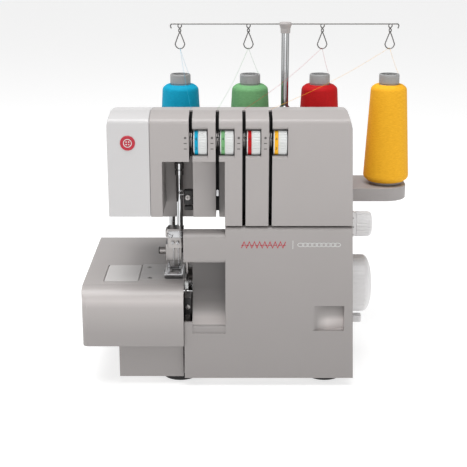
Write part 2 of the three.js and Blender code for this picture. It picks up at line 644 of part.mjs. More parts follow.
function presserFootHolder() {
  const block = box([-97, -80], [-61.5, -44], [BED_TOP + 11, BED_TOP + 30]);
  const jaw = box([-92.6, -83.4], [FOOT_PIN.y - 4, FOOT_PIN.y + 4], [BED_TOP + 4.4, BED_TOP + 12]);
  const thumbScrew = bar("x", 4, [-104, -96.5], [PRESSER.y - 2, BED_TOP + 20], 16);
  return cut(
    join(block, jaw, thumbScrew),
    bar("z", PRESSER.barRadius + RUNNING, [BED_TOP + 17, BED_TOP + 40], [PRESSER.x, PRESSER.y]),
    bar("x", FOOT_PIN.radius + 0.3, [-100, -78], [FOOT_PIN.y, FOOT_PIN.z], 12),
    box([-100, -78], [FOOT_PIN.y - 1.7, FOOT_PIN.y + 1.7], [BED_TOP, FOOT_PIN.z]),
  );
}

const SPRING = { z0: CROWN - 87, z1: CROWN - 40, radius: 5.2, wire: 0.7, turns: 6 };

function presserBar() {
  return join(
    bar("z", PRESSER.barRadius, [BED_TOP + 17.3, CROWN - 20], [PRESSER.x, PRESSER.y], 16),
    bar("z", 5.5, [SPRING.z0 - 6, SPRING.z0 - 1.2], [PRESSER.x, PRESSER.y], 16),
  );
}

function presserSpring() {
  const perTurn = 8;
  const points = Array.from({ length: SPRING.turns * perTurn + 1 }, (_, i) => {
    const angle = (2 * Math.PI * i) / perTurn;
    return [
      PRESSER.x + SPRING.radius * Math.cos(angle),
      PRESSER.y + SPRING.radius * Math.sin(angle),
      SPRING.z0 + ((SPRING.z1 - SPRING.z0) * i) / (SPRING.turns * perTurn),
    ];
  });
  return wire(points, SPRING.wire, SPRING.turns * perTurn, 4);
}

function presserLifter() {
  const { x0, x1, length } = LIFTER;
  const outline = [...arc([0, 0], 5, 90, 270, 6), ...arc([length, 0], 3.5, -90, 90, 6)];
  const grip = box([x0 - 4, x1 + 4], [length - 14, length], [-3.5, 3.5]);
  const bore = bar("x", LIFTER.pinRadius + CLEARANCE, [x0 - 5, x1 + 5], [0, 0], 16);
  return cut(join(prism("x", outline, [x0, x1]), grip), bore);
}

function needleBar() {
  return join(
    bar("z", NEEDLE.barRadius, [CLAMP.z0 + 10, CROWN - 14], [NEEDLE.x, NEEDLE.y], 16),
    bar("z", 4.8, [RECESS.top - 18, RECESS.top - 12], [NEEDLE.x, NEEDLE.y], 16),
  );
}

function needleClamp() {
  const { x0, x1, y0, y1, z0, z1 } = CLAMP;
  const block = prism("z", roundedRectangle([x0, x1], [y0, y1], 3, 3), [z0, z1]);
  const screws = [NEEDLE_XS.left, NEEDLE_XS.right].map((x) =>
    bar("y", 1.8, [y0 - 2, y0 + 2], [x, z0 + 6], 12),
  );
  const shanks = [NEEDLE_XS.left, NEEDLE_XS.right].map((x) =>
    bar("z", 1.05 + RUNNING, [z0 - 5, z0 + 9], [x, NEEDLE.y], 12),
  );
  return cut(
    join(block, ...screws),
    bar("z", NEEDLE.barRadius + RUNNING, [z0 + 9.5, z1 + 5], [NEEDLE.x, NEEDLE.y], 16),
    ...shanks,
  );
}

// The needle's shank, blade and point, hanging from the clamp.
const needle = () =>
  turned("z", [[0, -26], [0.45, -22], [0.5, -5], [1.05, -3], [1.05, 8.5], [0, 8.5]], [0, 0, 0], 12);

const LOOPER_SHAFT = 4;
const LOWER_LOOPER = { x: -104, z: BED_TOP - 67, y0: -80, y1: -77 };
const UPPER_LOOPER = { x: -58, z: BED_TOP - 57, y0: -66, y1: -63 };

function lowerLooper() {
  const { x, z, y0, y1 } = LOWER_LOOPER;
  const blade = [
    [x - 4, z], [x + 4, z], [x + 3, z + 40], [x + 6, z + 46], [x + 12, z + 49.5], [x + 16, z + 52],
    [x + 11, z + 52], [x + 4, z + 51], [x - 2, z + 46],
  ];
  const hub = bar("y", 7, [y0 - 2, y1 + 3], [x, z], 20);
  return join(prism("y", blade, [y0, y1]), hub, bar("y", LOOPER_SHAFT, [y0, -32], [x, z], 16));
}

function upperLooper() {
  const { x, z, y0, y1 } = UPPER_LOOPER;
  const blade = [
    [x - 4, z], [x + 4, z], [x, z + 24], [x - 6, z + 38], [x - 13, z + 47], [x - 16, z + 48],
    [x - 12, z + 40], [x - 8, z + 26],
  ];
  const hub = bar("y", 7, [y0 - 2, y1 + 3], [x, z], 20);
  return join(prism("y", blade, [y0, y1]), hub, bar("y", LOOPER_SHAFT, [y0, -32], [x, z], 16));
}

const KNIFE = { x: -74.6, y0: -84, y1: -70, blade: 1.6 };

function lowerKnife() {
  const blade = box([KNIFE.x - KNIFE.blade, KNIFE.x], [KNIFE.y0, KNIFE.y1], [BED_TOP - 28, BED_TOP - 0.1]);
  const holder = box([KNIFE.x - 1.4, KNIFE.x + 5.6], [-100, -82], [BED_TOP - 35, BED_TOP - 17]);
  const leg = box([KNIFE.x - 0.4, KNIFE.x + 4.6], [-100, -90], [BASE_BOTTOM + 3 + CLEARANCE, BED_TOP - 30]);
  return join(blade, holder, leg);
}

function upperKnife() {
  const x0 = KNIFE.x + CLEARANCE;
  const blade = prism("x", [[KNIFE.y0, BED_TOP + 4], [-68, BED_TOP + 1], [-68, BED_TOP + 20],
    [KNIFE.y0, BED_TOP + 20]], [x0, x0 + KNIFE.blade]);
  const arm = box([x0, -58], [-68, -50], [BED_TOP + 11, BED_TOP + 19]);
  const post = box([-64, -58], [-57, -50], [BED_TOP - 43, BED_TOP + 15]);
  return join(blade, arm, post);
}

// ---- Drive ---------------------------------------------------------------------------------------
function mainShaft() {
  const place = [SHAFT.y, SHAFT.z];
  return join(
    bar("x", SHAFT.radius, [SHAFT.left, HANDWHEEL.x0 + 12], place, 16),
    bar("x", 9, [-74, -68], place, 16),
    bar("x", 9, [-50, -44], place, 16),
  );
}

function drivePulley(radius, bore, centre) {
  const { x0, x1, flange } = PULLEY;
  const rim = radius + 2.5;
  const profile = [
    [bore, x0], [rim, x0], [rim, x0 + flange], [radius, x0 + flange],
    [radius, x1 - flange], [rim, x1 - flange], [rim, x1], [bore, x1],
  ];
  return turned("x", profile, [0, ...centre], 28);
}

function motorPulley() {
  const centre = [MOTOR.y, MOTOR.z];
  const shaft = bar("x", MOTOR.shaftRadius, [MOTOR.x1 - 10, PULLEY.x1 + 2], centre, 20);
  return join(drivePulley(PULLEY.small, MOTOR.shaftRadius - 1, centre), shaft);
}

// The loop round both pulleys, made of two arcs and the straight runs between them.
function driveBelt() {
  const big = [SHAFT.y, SHAFT.z];
  const small = [MOTOR.y, MOTOR.z];
  const [dy, dz] = [small[0] - big[0], small[1] - big[1]];
  const heading = THREE.MathUtils.radToDeg(Math.atan2(dz, dy));
  const wrap = THREE.MathUtils.radToDeg(Math.acos((PULLEY.big - PULLEY.small) / Math.hypot(dy, dz)));
  const loop = (extra) => [
    ...arc(small, PULLEY.small + extra, heading - wrap, heading + wrap, 12),
    ...arc(big, PULLEY.big + extra, heading + wrap, heading + 360 - wrap, 24),
  ];
  const across = [PULLEY.x0 + PULLEY.flange + CLEARANCE, PULLEY.x1 - PULLEY.flange - CLEARANCE];
  return cut(
    prism("x", loop(CLEARANCE + PULLEY.belt), across),
    prism("x", loop(CLEARANCE), [PULLEY.x0 - 5, PULLEY.x1 + 5]),
  );
}

function handwheel() {
  const { radius: r, x0, x1 } = HANDWHEEL;
  const bore = SHAFT.radius + RUNNING;
  const profile = [
    [0, x0 + 13], [bore, x0 + 13], [bore, x0], [12, x0], [12, x0 + 5], [r - 4, x0 + 5], [r - 4, x0],
    [r, x0 + 0.5], [r, x1 - 8.5], [r - 1.5, x1 - 6], [r - 5, x1 - 3.6], [r - 11, x1 - 1.6],
    [r - 18, x1 - 0.4], [0, x1],
  ];
  return turned("x", profile, [0, SHAFT.y, SHAFT.z], 30);
}

function motor() {
  const { radius: r, x0, x1, shaftRadius, y, z } = MOTOR;
  const bore = shaftRadius + RUNNING;
  const profile = [
    [0, x0 - 6], [9, x0 - 6], [9, x0], [r - 4, x0], [r, x0 + 4], [r, x1 - 4], [r - 4, x1], [9, x1],
    [9, x1 + 5], [bore, x1 + 5], [bore, x1 - 12], [0, x1 - 12],
  ];
  return turned("x", profile, [0, y, z], 16);
}

// ---- Controls ------------------------------------------------------------------------------------
function stitchLengthDial() {
  const { radius: r, x0, width, y, z } = LENGTH_DIAL;
  const x1 = x0 + width;
  const profile = [
    [0, x0 - 9], [4, x0 - 9], [4, x0], [r - 1, x0], [r, x0 + 1.5], [r - 0.3, x1 - 3], [r - 2, x1], [0, x1],
  ];
  return turned("x", profile, [0, y, z], 20);
}

function differentialFeedLever() {
  const { y, z } = LEVER;
  const end = HANDWHEEL.x0 + 13.6;
  return join(
    box([COLUMN_RIGHT_TOP - 4, COLUMN_RIGHT_TOP], [y - 8, y + 8], [z - 8, z + 8]),
    box([COLUMN_RIGHT_TOP - 1, end - 9], [y - 2.4, y + 2.4], [z - 3.2, z + 3.2]),
    prism("z", roundedRectangle([end - 10, end], [y - 5, y + 5], 2, 3), [z - 3.6, z + 3.6]),
  );
}

const switchZ = (SWITCH.z0 + SWITCH.z1) / 2;
const SWITCH_PIVOT_X = COLUMN_RIGHT_TOP - 1;

function powerSwitch() {
  const half = (SWITCH.z1 - SWITCH.z0) / 2 - 1.8;
  const face = sideX(switchZ);
  const rocker = [
    [SWITCH_PIVOT_X - 2, switchZ - 4], [face - 0.5, switchZ - half], [face + 0.6, switchZ],
    [face + 2, switchZ + half], [SWITCH_PIVOT_X - 2, switchZ + 4],
  ];
  return prism("y", rocker, [SWITCH.y0 + 0.5, SWITCH.y1 - 0.5]);
}

function powerInlet() {
  const { y0, y1, z0, z1 } = INLET;
  const face = sideX((z0 + z1) / 2) + 0.8;
  const socket = [[y0 + 3.5, y1 - 3.5], [z0 + 3.5, z1 - 3.5]];
  const back = face - 13;
  const pins = [-1, 0, 1].map((side) =>
    bar("x", 1.3, [back - 1, back + 6], [(y0 + y1) / 2 + side * 6, (z0 + z1) / 2], 12),
  );
  const housing = box([back - 4, face], [y0 + 0.5, y1 - 0.5], [z0 + 0.5, z1 - 0.5]);
  return join(cut(housing, box([back, face + 5], ...socket)), ...pins);
}

// ---- Spool stand, guide and cones ----------------------------------------------------------------
const coneXs = Array.from({ length: 4 }, (_, i) => CONES.middle + (i - 1.5) * CONES.pitch);

function spoolStand() {
  const { x0, x1, y0, y1, z0, z1, corner, wall } = STAND;
  const plan = (inset) =>
    roundedRectangle([x0 + inset, x1 - inset], [y0 + inset, y1 - inset], corner - inset, 6);
  const bracket = (x) => box([x - 12, x + 12], [BODY_REAR + CLEARANCE, y0 + 1], [z0, z1 - 3]);
  const pins = coneXs.map((x) => {
    const { radius, collar, height } = SPOOL_PIN;
    const profile = [
      [0, z1 - 1], [collar, z1 - 1], [collar, z1 + 5], [radius, z1 + 9],
      [radius, z1 + height - 2], [radius - 1.5, z1 + height], [0, z1 + height],
    ];
    return turned("z", profile, [x, CONES.y, 0], 10);
  });
  return join(
    cut(prism("z", plan(0), [z0, z1]), prism("z", plan(wall), [z0 - 5, z1 - wall])),
    bracket(-10),
    bracket(70),
    ...pins,
  );
}

function guidePostOuter() {
  const bore = POST.radius + RUNNING;
  const foot = STAND.z1 + CLEARANCE;
  const outer = bore + 1;
  const profile = [
    [bore, foot], [9, foot], [9, foot + 4], [outer, foot + 6],
    [outer, POST.outerTop], [bore, POST.outerTop],
  ];
  return turned("z", profile, [POST.x, POST.y, 0], 16);
}

const GUIDE_TRAVEL = 25;

const guidePostInner = () =>
  bar("z", POST.radius, [STAND.z1 + GUIDE_TRAVEL + 8, POST.top], [POST.x, POST.y], 16);

function guideHead() {
  const bore = POST.radius + RUNNING;
  const top = GUIDE.z + 2.2;
  const profile = [
    [0, POST.top + 1], [bore, POST.top + 1], [bore, top - 12.4], [5.6, top - 12.4], [6, top - 6],
    [7.3, top - 4], [7.3, top - 0.8], [6.5, top], [0, top],
  ];
  const head = turned("z", profile, [POST.x, POST.y, 0], 16);
  return cut(head, bar("x", GUIDE.wire + 0.2, [POST.x - 20, POST.x + 20], [POST.y, GUIDE.z], 12));
}

function guideWire() {
  const { z, wire: r, loopWidth, loopDrop } = GUIDE;
  const half = loopWidth / 2 - r;
  const bottom = z - loopDrop + r;
  const level = (share) => bottom + share * (z - 8 - bottom);
  const loop = (x) => {
    const side = [[0.6, z], [1, z - 5.5], [-1.2, z - 9.5], [-half + 0.7, level(0.62)], [-half, level(0.38)],
      [-half * 0.72, level(0.1)]];
    const left = side.map(([dx, height]) => [x + dx, POST.y, height]);
    const right = [...side].reverse().map(([dx, height]) => [x - dx, POST.y, height]);
    return wire([...left, [x, POST.y, bottom], ...right], r * 0.85, 20, 5);
  };
  const ends = [LOOP_XS[0] - 10.5, LOOP_XS[3] + 9.5];
  const hooks = ends.map((x) => bar("z", r, [z - 5, z + 0.5], [x, POST.y], 8));
  return join(bar("x", r, ends, [POST.y, z], 8), ...LOOP_XS.map(loop), ...hooks);
}

const CORE_WALL = 1.6;
const coneBase = STAND.z1 + CLEARANCE;

// Outer radius of the bare cone at a height above its base.
const coreRadius = (h) => CONES.baseRadius + ((CONES.topRadius - CONES.baseRadius) * h) / CONES.height;

function coneCore() {
  const { height } = CONES;
  const profile = [
    [coreRadius(0) - CORE_WALL, 0], [coreRadius(0), 0], [coreRadius(height - 11), height - 11],
    [coreRadius(height) + 0.4, height - 10], [coreRadius(height) + 0.4, height - 0.8],
    [coreRadius(height) - 0.6, height], [coreRadius(height) - CORE_WALL, height],
  ];
  return turned("z", profile, [0, 0, 0], 14);
}

// The wound thread: a bevel at the base, a tapering body and a rounded shoulder.
function coneThread() {
  const { bottomRadius, topRadius } = PACKAGE;
  const top = CONES.height - 11.5;
  const inner = (h) => coreRadius(h) + CLEARANCE;
  const profile = [
    [inner(3), 3], [bottomRadius - 6, 3], [bottomRadius - 1, 6], [bottomRadius, 8],
    [topRadius + 0.4, top - 5], [topRadius - 0.6, top - 2.4], [topRadius - 3, top - 0.6],
    [topRadius - 6, top], [inner(top), top],
  ];
  return turned("z", profile, [0, 0, 0], 20);
}

// ---- Thread tension ------------------------------------------------------------------------------
const SPINDLE = 2;

function tensionDial() {
  const { radius: r, width } = DIAL;
  const bore = SPINDLE + RUNNING;
  return turned("x", [[bore, 0], [r - 0.6, 0], [r, 0.6], [r, width - 0.6], [r - 0.6, width], [bore, width]],
    [0, 0, 0], 24);
}

// A spindle across the slot that carries the pair of discs the thread runs between.
function tensionDiscs() {
  const start = CLEARANCE - slotEdge;
  const end = slotEdge + DIAL.play + DIAL.width;
  const profile = [
    [0, start], [SPINDLE, start], [SPINDLE, -0.9], [9, -1.1], [9, -0.5], [SPINDLE, -0.3],
    [SPINDLE, 0.3], [9, 0.5], [9, 1.1], [SPINDLE, 0.9], [SPINDLE, end], [0, end],
  ];
  return turned("x", profile, [0, 0, 0], 10);
}

function rubberFoot() {
  const { height, radius: r } = FOOT;
  return turned("z", [[0, 0], [r - 1.5, 0], [r, 1.5], [r, height], [0, height]], [0, 0, 0], 16);
}

// ---- Assembly ------------------------------------------------------------------------------------
const M = MATERIALS;
add("chassis_frame", chassisFrame(), M.casting);
add("base_tray", baseTray(), M.housing);
add("rear_cover", rearCover(), M.housing);
add("tension_cover", tensionCover(), M.housing);
add("face_cover", faceCover(), M.faceCover);
add("free_arm_cover", freeArmCover(), M.housing);
add("cloth_plate", clothPlate(), M.housing);
add("plate_insert", plateInsert(), M.faceCover);
add("needle_plate", needlePlate(), M.steel);
add("looper_cover", looperCover(), M.housing);
add("cover_hinge_rod", coverHingeRod(), M.steel);

add("feed_dog", feedDog(), M.steel);
add("lower_knife", lowerKnife(), M.steel);
add("upper_knife", upperKnife(), M.steel);
add("lower_looper", lowerLooper(), M.chrome);
add("upper_looper", upperLooper(), M.chrome);
add("presser_bar", presserBar(), M.chrome);
add("presser_spring", presserSpring(), M.steel);
add("presser_foot_holder", presserFootHolder(), M.steel);
add("presser_foot", presserFoot(), M.chrome);
const lifter = add("presser_lifter", presserLifter(), M.blackPlastic, [0, LIFTER.y, LIFTER.z]);
lifter.rotation.x = THREE.MathUtils.degToRad(-LIFTER.droop);
add("needle_bar", needleBar(), M.chrome);
add("needle_clamp", needleClamp(), M.steel);
for (const [side, x] of Object.entries(NEEDLE_XS)) {
  add(`needle_${side}`, needle(), M.chrome, [x, NEEDLE.y, CLAMP.z0]);
}

add("main_shaft", mainShaft(), M.steel);
add("drive_pulley", drivePulley(PULLEY.big, SHAFT.radius + RUNNING, [SHAFT.y, SHAFT.z]), M.casting);
add("handwheel", handwheel(), M.control);
add("motor", motor(), M.casting);
add("motor_pulley", motorPulley(), M.brass);
add("drive_belt", driveBelt(), M.rubber);
add("stitch_length_dial", stitchLengthDial(), M.control);
add("differential_feed_lever", differentialFeedLever(), M.control);
add("power_switch", powerSwitch(), M.blackPlastic);
add("power_inlet", powerInlet(), M.blackPlastic);

add("spool_stand", spoolStand(), M.housing);
add("guide_post_outer", guidePostOuter(), M.chrome);
add("guide_post_inner", guidePostInner(), M.chrome);
add("guide_head", guideHead(), M.housing);
add("guide_wire", guideWire(), M.chrome);

Object.entries(M.thread).forEach(([colour, thread], i) => {
  const cone = new THREE.Group();
  cone.position.set(coneXs[i], CONES.y, coneBase);
  machine.add(cone);
  add(`cone_core_${colour}`, coneCore(), M.cone, [0, 0, 0], cone);
  add(`cone_thread_${colour}`, coneThread(), thread, [0, 0, 0], cone);
});

slotXs.forEach((x, i) => {
  add(`tension_discs_${i + 1}`, tensionDiscs(), M.steel, [x, dialY, DIAL.z]);
  add(`tension_dial_${i + 1}`, tensionDial(), M.dialDrum, [x + slotEdge + DIAL.play, dialY, DIAL.z]);
});

const CORNERS = { front_left: [0, 0], front_right: [1, 0], rear_left: [0, 1], rear_right: [1, 1] };
for (const [corner, [i, j]] of Object.entries(CORNERS)) {
  add(`rubber_foot_${corner}`, rubberFoot(), M.rubber, [FOOT.xs[i], FOOT.ys[j], 0]);
}

export default machine;
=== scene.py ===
"""The looks of a four-thread overlock machine, built round its CAD model. Metres, +Z up, front at -Y."""
import json
import math

import bmesh
import bpy
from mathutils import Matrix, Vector


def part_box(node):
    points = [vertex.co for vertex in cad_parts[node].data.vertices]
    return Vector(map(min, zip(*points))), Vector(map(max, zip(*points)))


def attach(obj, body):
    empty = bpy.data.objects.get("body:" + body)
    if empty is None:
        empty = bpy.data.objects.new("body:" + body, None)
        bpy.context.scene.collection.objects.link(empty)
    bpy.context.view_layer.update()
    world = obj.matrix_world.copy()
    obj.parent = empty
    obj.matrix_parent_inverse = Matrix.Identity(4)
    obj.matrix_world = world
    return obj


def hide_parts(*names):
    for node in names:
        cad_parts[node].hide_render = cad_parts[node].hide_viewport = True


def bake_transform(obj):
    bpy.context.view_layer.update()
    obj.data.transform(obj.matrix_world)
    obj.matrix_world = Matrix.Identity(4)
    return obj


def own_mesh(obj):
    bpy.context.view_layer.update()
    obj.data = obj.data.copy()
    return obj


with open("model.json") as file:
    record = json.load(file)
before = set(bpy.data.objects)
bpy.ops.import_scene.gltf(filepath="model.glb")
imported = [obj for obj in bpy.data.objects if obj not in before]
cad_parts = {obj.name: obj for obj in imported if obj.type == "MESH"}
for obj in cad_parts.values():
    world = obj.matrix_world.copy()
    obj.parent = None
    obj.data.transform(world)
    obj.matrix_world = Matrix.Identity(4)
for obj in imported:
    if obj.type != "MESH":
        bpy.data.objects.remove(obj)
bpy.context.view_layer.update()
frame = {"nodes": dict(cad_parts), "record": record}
nodes = frame["nodes"]
MM = 0.001
SIDES = ["blue", "green", "red", "yellow"]


def mm(x, y, z):
    return Vector((x, y, z)) * MM


# ---- Materials ----------------------------------------------------------------------------------
def new_material(name):
    made = bpy.data.materials.new(name)
    made.use_nodes = True
    tree = made.node_tree
    return made, tree, tree.nodes["Principled BSDF"]


def node(tree, kind, **values):
    made = tree.nodes.new(kind)
    for key, value in values.items():
        if key in made.inputs:
            made.inputs[key].default_value = value
        else:
            setattr(made, key, value)
    return made


def spread(tree, texture_output, low, high):
    """Maps a 0 to 1 texture onto a range."""
    ranged = node(tree, "ShaderNodeMapRange")
    ranged.inputs["From Min"].default_value = 0.3
    ranged.inputs["From Max"].default_value = 0.7
    ranged.inputs["To Min"].default_value = low
    ranged.inputs["To Max"].default_value = high
    tree.links.new(texture_output, ranged.inputs["Value"])
    return ranged.outputs["Result"]


def two_tone(tree, factor, first, second):
    mix = node(tree, "ShaderNodeMix", data_type="RGBA")
    mix.inputs["A"].default_value = (*first, 1)
    mix.inputs["B"].default_value = (*second, 1)
    tree.links.new(factor, mix.inputs["Factor"])
    return mix.outputs["Result"]


def surface(name, color, roughness, metallic=0.0, grain=0.0003, depth=0.02, mottle=0.05, stretch=(1, 1, 1),
            painted_light=None):
    """A moulded, cast or brushed surface: fine grain in the relief, slow drift in colour and gloss, and
    painted light and shade from the given function.
    """
    made, tree, shader = new_material(name)
    place = node(tree, "ShaderNodeTexCoord")
    scaled = node(tree, "ShaderNodeMapping")
    scaled.inputs["Scale"].default_value = stretch
    tree.links.new(place.outputs["Object"], scaled.inputs["Vector"])
    fine = node(tree, "ShaderNodeTexNoise", Scale=1 / grain, Detail=3.0, Roughness=0.6)
    slow = node(tree, "ShaderNodeTexNoise", Scale=22.0, Detail=4.0, Roughness=0.55)
    for texture in (fine, slow):
        tree.links.new(scaled.outputs["Vector"], texture.inputs["Vector"])
    darker = [c * (1 - mottle) for c in color]
    lighter = [min(1, c * (1 + mottle)) for c in color]
    tint = two_tone(tree, slow.outputs["Fac"], darker, lighter)
    # Painted light and shade: the given function scales the colour by grey steps that stand for light and
    # shade.
    tree.links.new(painted_light(tree, place, tint) if painted_light else tint, shader.inputs["Base Color"])
    gloss = spread(tree, fine.outputs["Fac"], max(0.02, roughness - 0.06), min(1, roughness + 0.06))
    tree.links.new(gloss, shader.inputs["Roughness"])
    shader.inputs["Metallic"].default_value = metallic
    relief = node(tree, "ShaderNodeBump", Strength=1.0, Distance=depth * MM)
    tree.links.new(fine.outputs["Fac"], relief.inputs["Height"])
    tree.links.new(relief.outputs["Normal"], shader.inputs["Normal"])
    return made


def ramped(tree, value, tint, stops):
    """Multiplies a colour by grey steps that follow a value."""
    ramp = node(tree, "ShaderNodeValToRGB")
    points = ramp.color_ramp.elements
    while len(points) < len(stops):
        points.new(0.5)
    for point, (place, grey) in zip(points, stops):
        point.position = place
        point.color = (grey, grey, grey, 1)
    tree.links.new(value, ramp.inputs["Fac"])
    mix = node(tree, "ShaderNodeMix", data_type="RGBA", blend_type="MULTIPLY")
    mix.inputs["Factor"].default_value = 1
    tree.links.new(tint, mix.inputs["A"])
    tree.links.new(ramp.outputs["Color"], mix.inputs["B"])
    return mix.outputs["Result"]


def own_axes(tree, place):
    """X, Y and Z of a piece's own coordinates, which move with it."""
    parts = node(tree, "ShaderNodeSeparateXYZ")
    tree.links.new(place.outputs["Object"], parts.inputs["Vector"])
    return parts.outputs


def shaded_by_height(tree, place, tint, tall, stops):
    """Multiplies a colour by grey steps that follow the height, as a share of tall."""
    share = node(tree, "ShaderNodeMath", operation="MULTIPLY")
    share.inputs[1].default_value = 1 / tall
    tree.links.new(own_axes(tree, place)["Z"], share.inputs[0])
    return ramped(tree, share.outputs["Value"], tint, stops)


def lower_darker(tree, place, tint):
    """Painted shading: mouldings are a shade darker towards the table."""
    body_height = 0.29
    return shaded_by_height(tree, place, tint, body_height,
                            [(0, 0.68), (0.2, 0.72), (0.5, 0.82), (0.7, 0.92), (1, 1)])


def chute_lit(tree, place, tint):
    """Painted shading: behind the looper cover's front face it is lighter low down and darker above."""
    cover_height = 0.16
    shade_starts, shade_full = -118.6 * MM, -114 * MM
    tint = lower_darker(tree, place, tint)
    chute = shaded_by_height(tree, place, tint, cover_height,
                             [(0.40, 2.2), (0.44, 2.2), (0.475, 1.3), (0.53, 0.75), (0.62, 0.5),
                              (0.78, 0.45), (0.85, 0.6), (0.9, 1)])
    depth = node(tree, "ShaderNodeMapRange")
    depth.inputs["From Min"].default_value = shade_starts
    depth.inputs["From Max"].default_value = shade_full
    tree.links.new(own_axes(tree, place)["Y"], depth.inputs["Value"])
    mix = node(tree, "ShaderNodeMix", data_type="RGBA")
    tree.links.new(depth.outputs["Result"], mix.inputs["Factor"])
    tree.links.new(tint, mix.inputs["A"])
    tree.links.new(chute, mix.inputs["B"])
    return mix.outputs["Result"]


def bed_darker(tree, place, tint):
    """Painted shading: the free arm's cover is lighter on its rounded edge and darker below it."""
    arm_height = 0.12
    return shaded_by_height(tree, place, tint, arm_height,
                            [(0.2, 0.66), (0.5, 0.76), (0.73, 1), (0.79, 1.3), (0.86, 1.1), (0.9, 1)])


def mirrored_room(tree, place, tint):
    """Painted stripes by the way a surface faces, for the dark walls that chrome in a room would mirror."""
    facing = node(tree, "ShaderNodeNewGeometry")
    parts = node(tree, "ShaderNodeSeparateXYZ")
    tree.links.new(facing.outputs["Normal"], parts.inputs["Vector"])
    across = node(tree, "ShaderNodeMath", operation="MULTIPLY_ADD")
    across.inputs[1].default_value = 0.5
    across.inputs[2].default_value = 0.5
    tree.links.new(parts.outputs["X"], across.inputs[0])
    return ramped(tree, across.outputs["Value"], tint,
                  [(0.05, 0.25), (0.2, 0.85), (0.34, 0.2), (0.44, 1), (0.56, 0.95), (0.67, 0.15), (0.8, 0.8),
                   (0.94, 0.15)])


def thread_surface(name, color, shade):
    """Wound thread: bright and dark strands that cross at a shallow angle, with a soft sheen."""
    made, tree, shader = new_material(name)
    place = node(tree, "ShaderNodeTexCoord")
    streak = node(tree, "ShaderNodeMapping")
    streak.inputs["Scale"].default_value = (1, 1, 9)
    tree.links.new(place.outputs["Object"], streak.inputs["Vector"])
    strands = node(tree, "ShaderNodeTexNoise", Scale=260.0, Detail=5.0, Roughness=0.7)
    tree.links.new(streak.outputs["Vector"], strands.inputs["Vector"])
    factor = spread(tree, strands.outputs["Fac"], 0.0, 1.0)
    tree.links.new(two_tone(tree, factor, shade, color), shader.inputs["Base Color"])
    shader.inputs["Roughness"].default_value = 0.7
    shader.inputs["Specular IOR Level"].default_value = 0.2
    relief = node(tree, "ShaderNodeBump", Strength=0.8, Distance=0.06 * MM)
    tree.links.new(strands.outputs["Fac"], relief.inputs["Height"])
    tree.links.new(relief.outputs["Normal"], shader.inputs["Normal"])
    return made


MOULDED = (0.42, 0.392, 0.383)
# Housing plastic, with painted shade that darkens it towards the table.
HOUSING = surface("housing_plastic", MOULDED, 0.42, grain=0.0005, depth=0.012, mottle=0.02,
                  painted_light=lower_darker)
PALE = surface("pale_plastic", (0.58, 0.57, 0.57), 0.38, grain=0.0005, depth=0.010, mottle=0.02)
# Looper cover plastic, with painted shade above and a painted bright floor in its chute.
COVER = surface("cover_plastic", MOULDED, 0.42, grain=0.0005, depth=0.012, mottle=0.02, painted_light=chute_lit)
# Plastic of the free arm's cover and the cloth plate, with a painted highlight on the rounded edge and
# painted shade below it.
BED = surface("bed_plastic", MOULDED, 0.36, grain=0.0005, depth=0.012, mottle=0.02, painted_light=bed_darker)
INSERT = surface("insert_plastic", (0.62, 0.60, 0.59), 0.4, grain=0.0005, depth=0.010, mottle=0.02)
CONTROL = surface("control_plastic", (0.76, 0.75, 0.75), 0.36, grain=0.0005, depth=0.010, mottle=0.02)
WHITE = surface("white_plastic", (0.66, 0.67, 0.66), 0.32, grain=0.0004, depth=0.008, mottle=0.02)
BLACK = surface("black_plastic", (0.012, 0.011, 0.011), 0.45, grain=0.0004, depth=0.02, mottle=0.2)
RUBBER = surface("black_rubber", (0.014, 0.013, 0.013), 0.8, grain=0.0006, depth=0.05, mottle=0.25)
STEEL = surface("satin_steel", (0.42, 0.40, 0.39), 0.34, 1.0, grain=0.0004, depth=0.01, mottle=0.08,
                stretch=(1, 6, 1))
# Chrome, with painted reflection: dark stripes by the way each face turns.
CHROME = surface("chrome", (0.78, 0.79, 0.80), 0.10, 1.0, grain=0.0008, depth=0.004, mottle=0.03,
                 painted_light=mirrored_room)
POLISHED = surface("polished_steel", (0.52, 0.52, 0.53), 0.2, 1.0, grain=0.0006, depth=0.006, mottle=0.05)
WIRE = surface("steel_wire", (0.20, 0.195, 0.19), 0.28, 1.0, grain=0.0006, depth=0.004, mottle=0.06)
CASTING = surface("cast_alloy", (0.30, 0.30, 0.31), 0.55, 0.9, grain=0.0008, depth=0.06, mottle=0.1)
PLATE = surface("plated_steel", (0.56, 0.54, 0.53), 0.42, 0.35, grain=0.0004, depth=0.01, mottle=0.08,
                stretch=(1, 6, 1))
BRASS = surface("brass", (0.62, 0.42, 0.15), 0.3, 1.0, grain=0.0005, depth=0.01, mottle=0.06)
PRINT_RED = surface("print_red", (0.46, 0.010, 0.030), 0.4, grain=0.0005, depth=0.004, mottle=0.04)
PRINT_GREY = surface("print_grey", (0.11, 0.104, 0.10), 0.5, grain=0.0005, depth=0.004, mottle=0.06)
CORE = surface("cone_core", (0.33, 0.33, 0.33), 0.5, grain=0.0006, depth=0.02, mottle=0.04)
SHADES = {
    "blue": ((0.001, 0.39, 0.60), (0.001, 0.26, 0.43)),
    "green": ((0.21, 0.46, 0.21), (0.12, 0.32, 0.13)),
    "red": ((0.58, 0.008, 0.011), (0.37, 0.004, 0.006)),
    "yellow": ((0.98, 0.53, 0.030), (0.78, 0.35, 0.010)),
}
THREADS = {c: thread_surface(f"thread_{c}", *SHADES[c]) for c in SIDES}


# ---- Mesh helpers -------------------------------------------------------------------------------
def make(name, vertices, faces, body, material, slot=None, replaces=(), sharp=35):
    mesh = bpy.data.meshes.new(name)
    mesh.from_pydata([tuple(v) for v in vertices], [], faces)
    return dress(name, mesh, body, material, replaces, sharp)


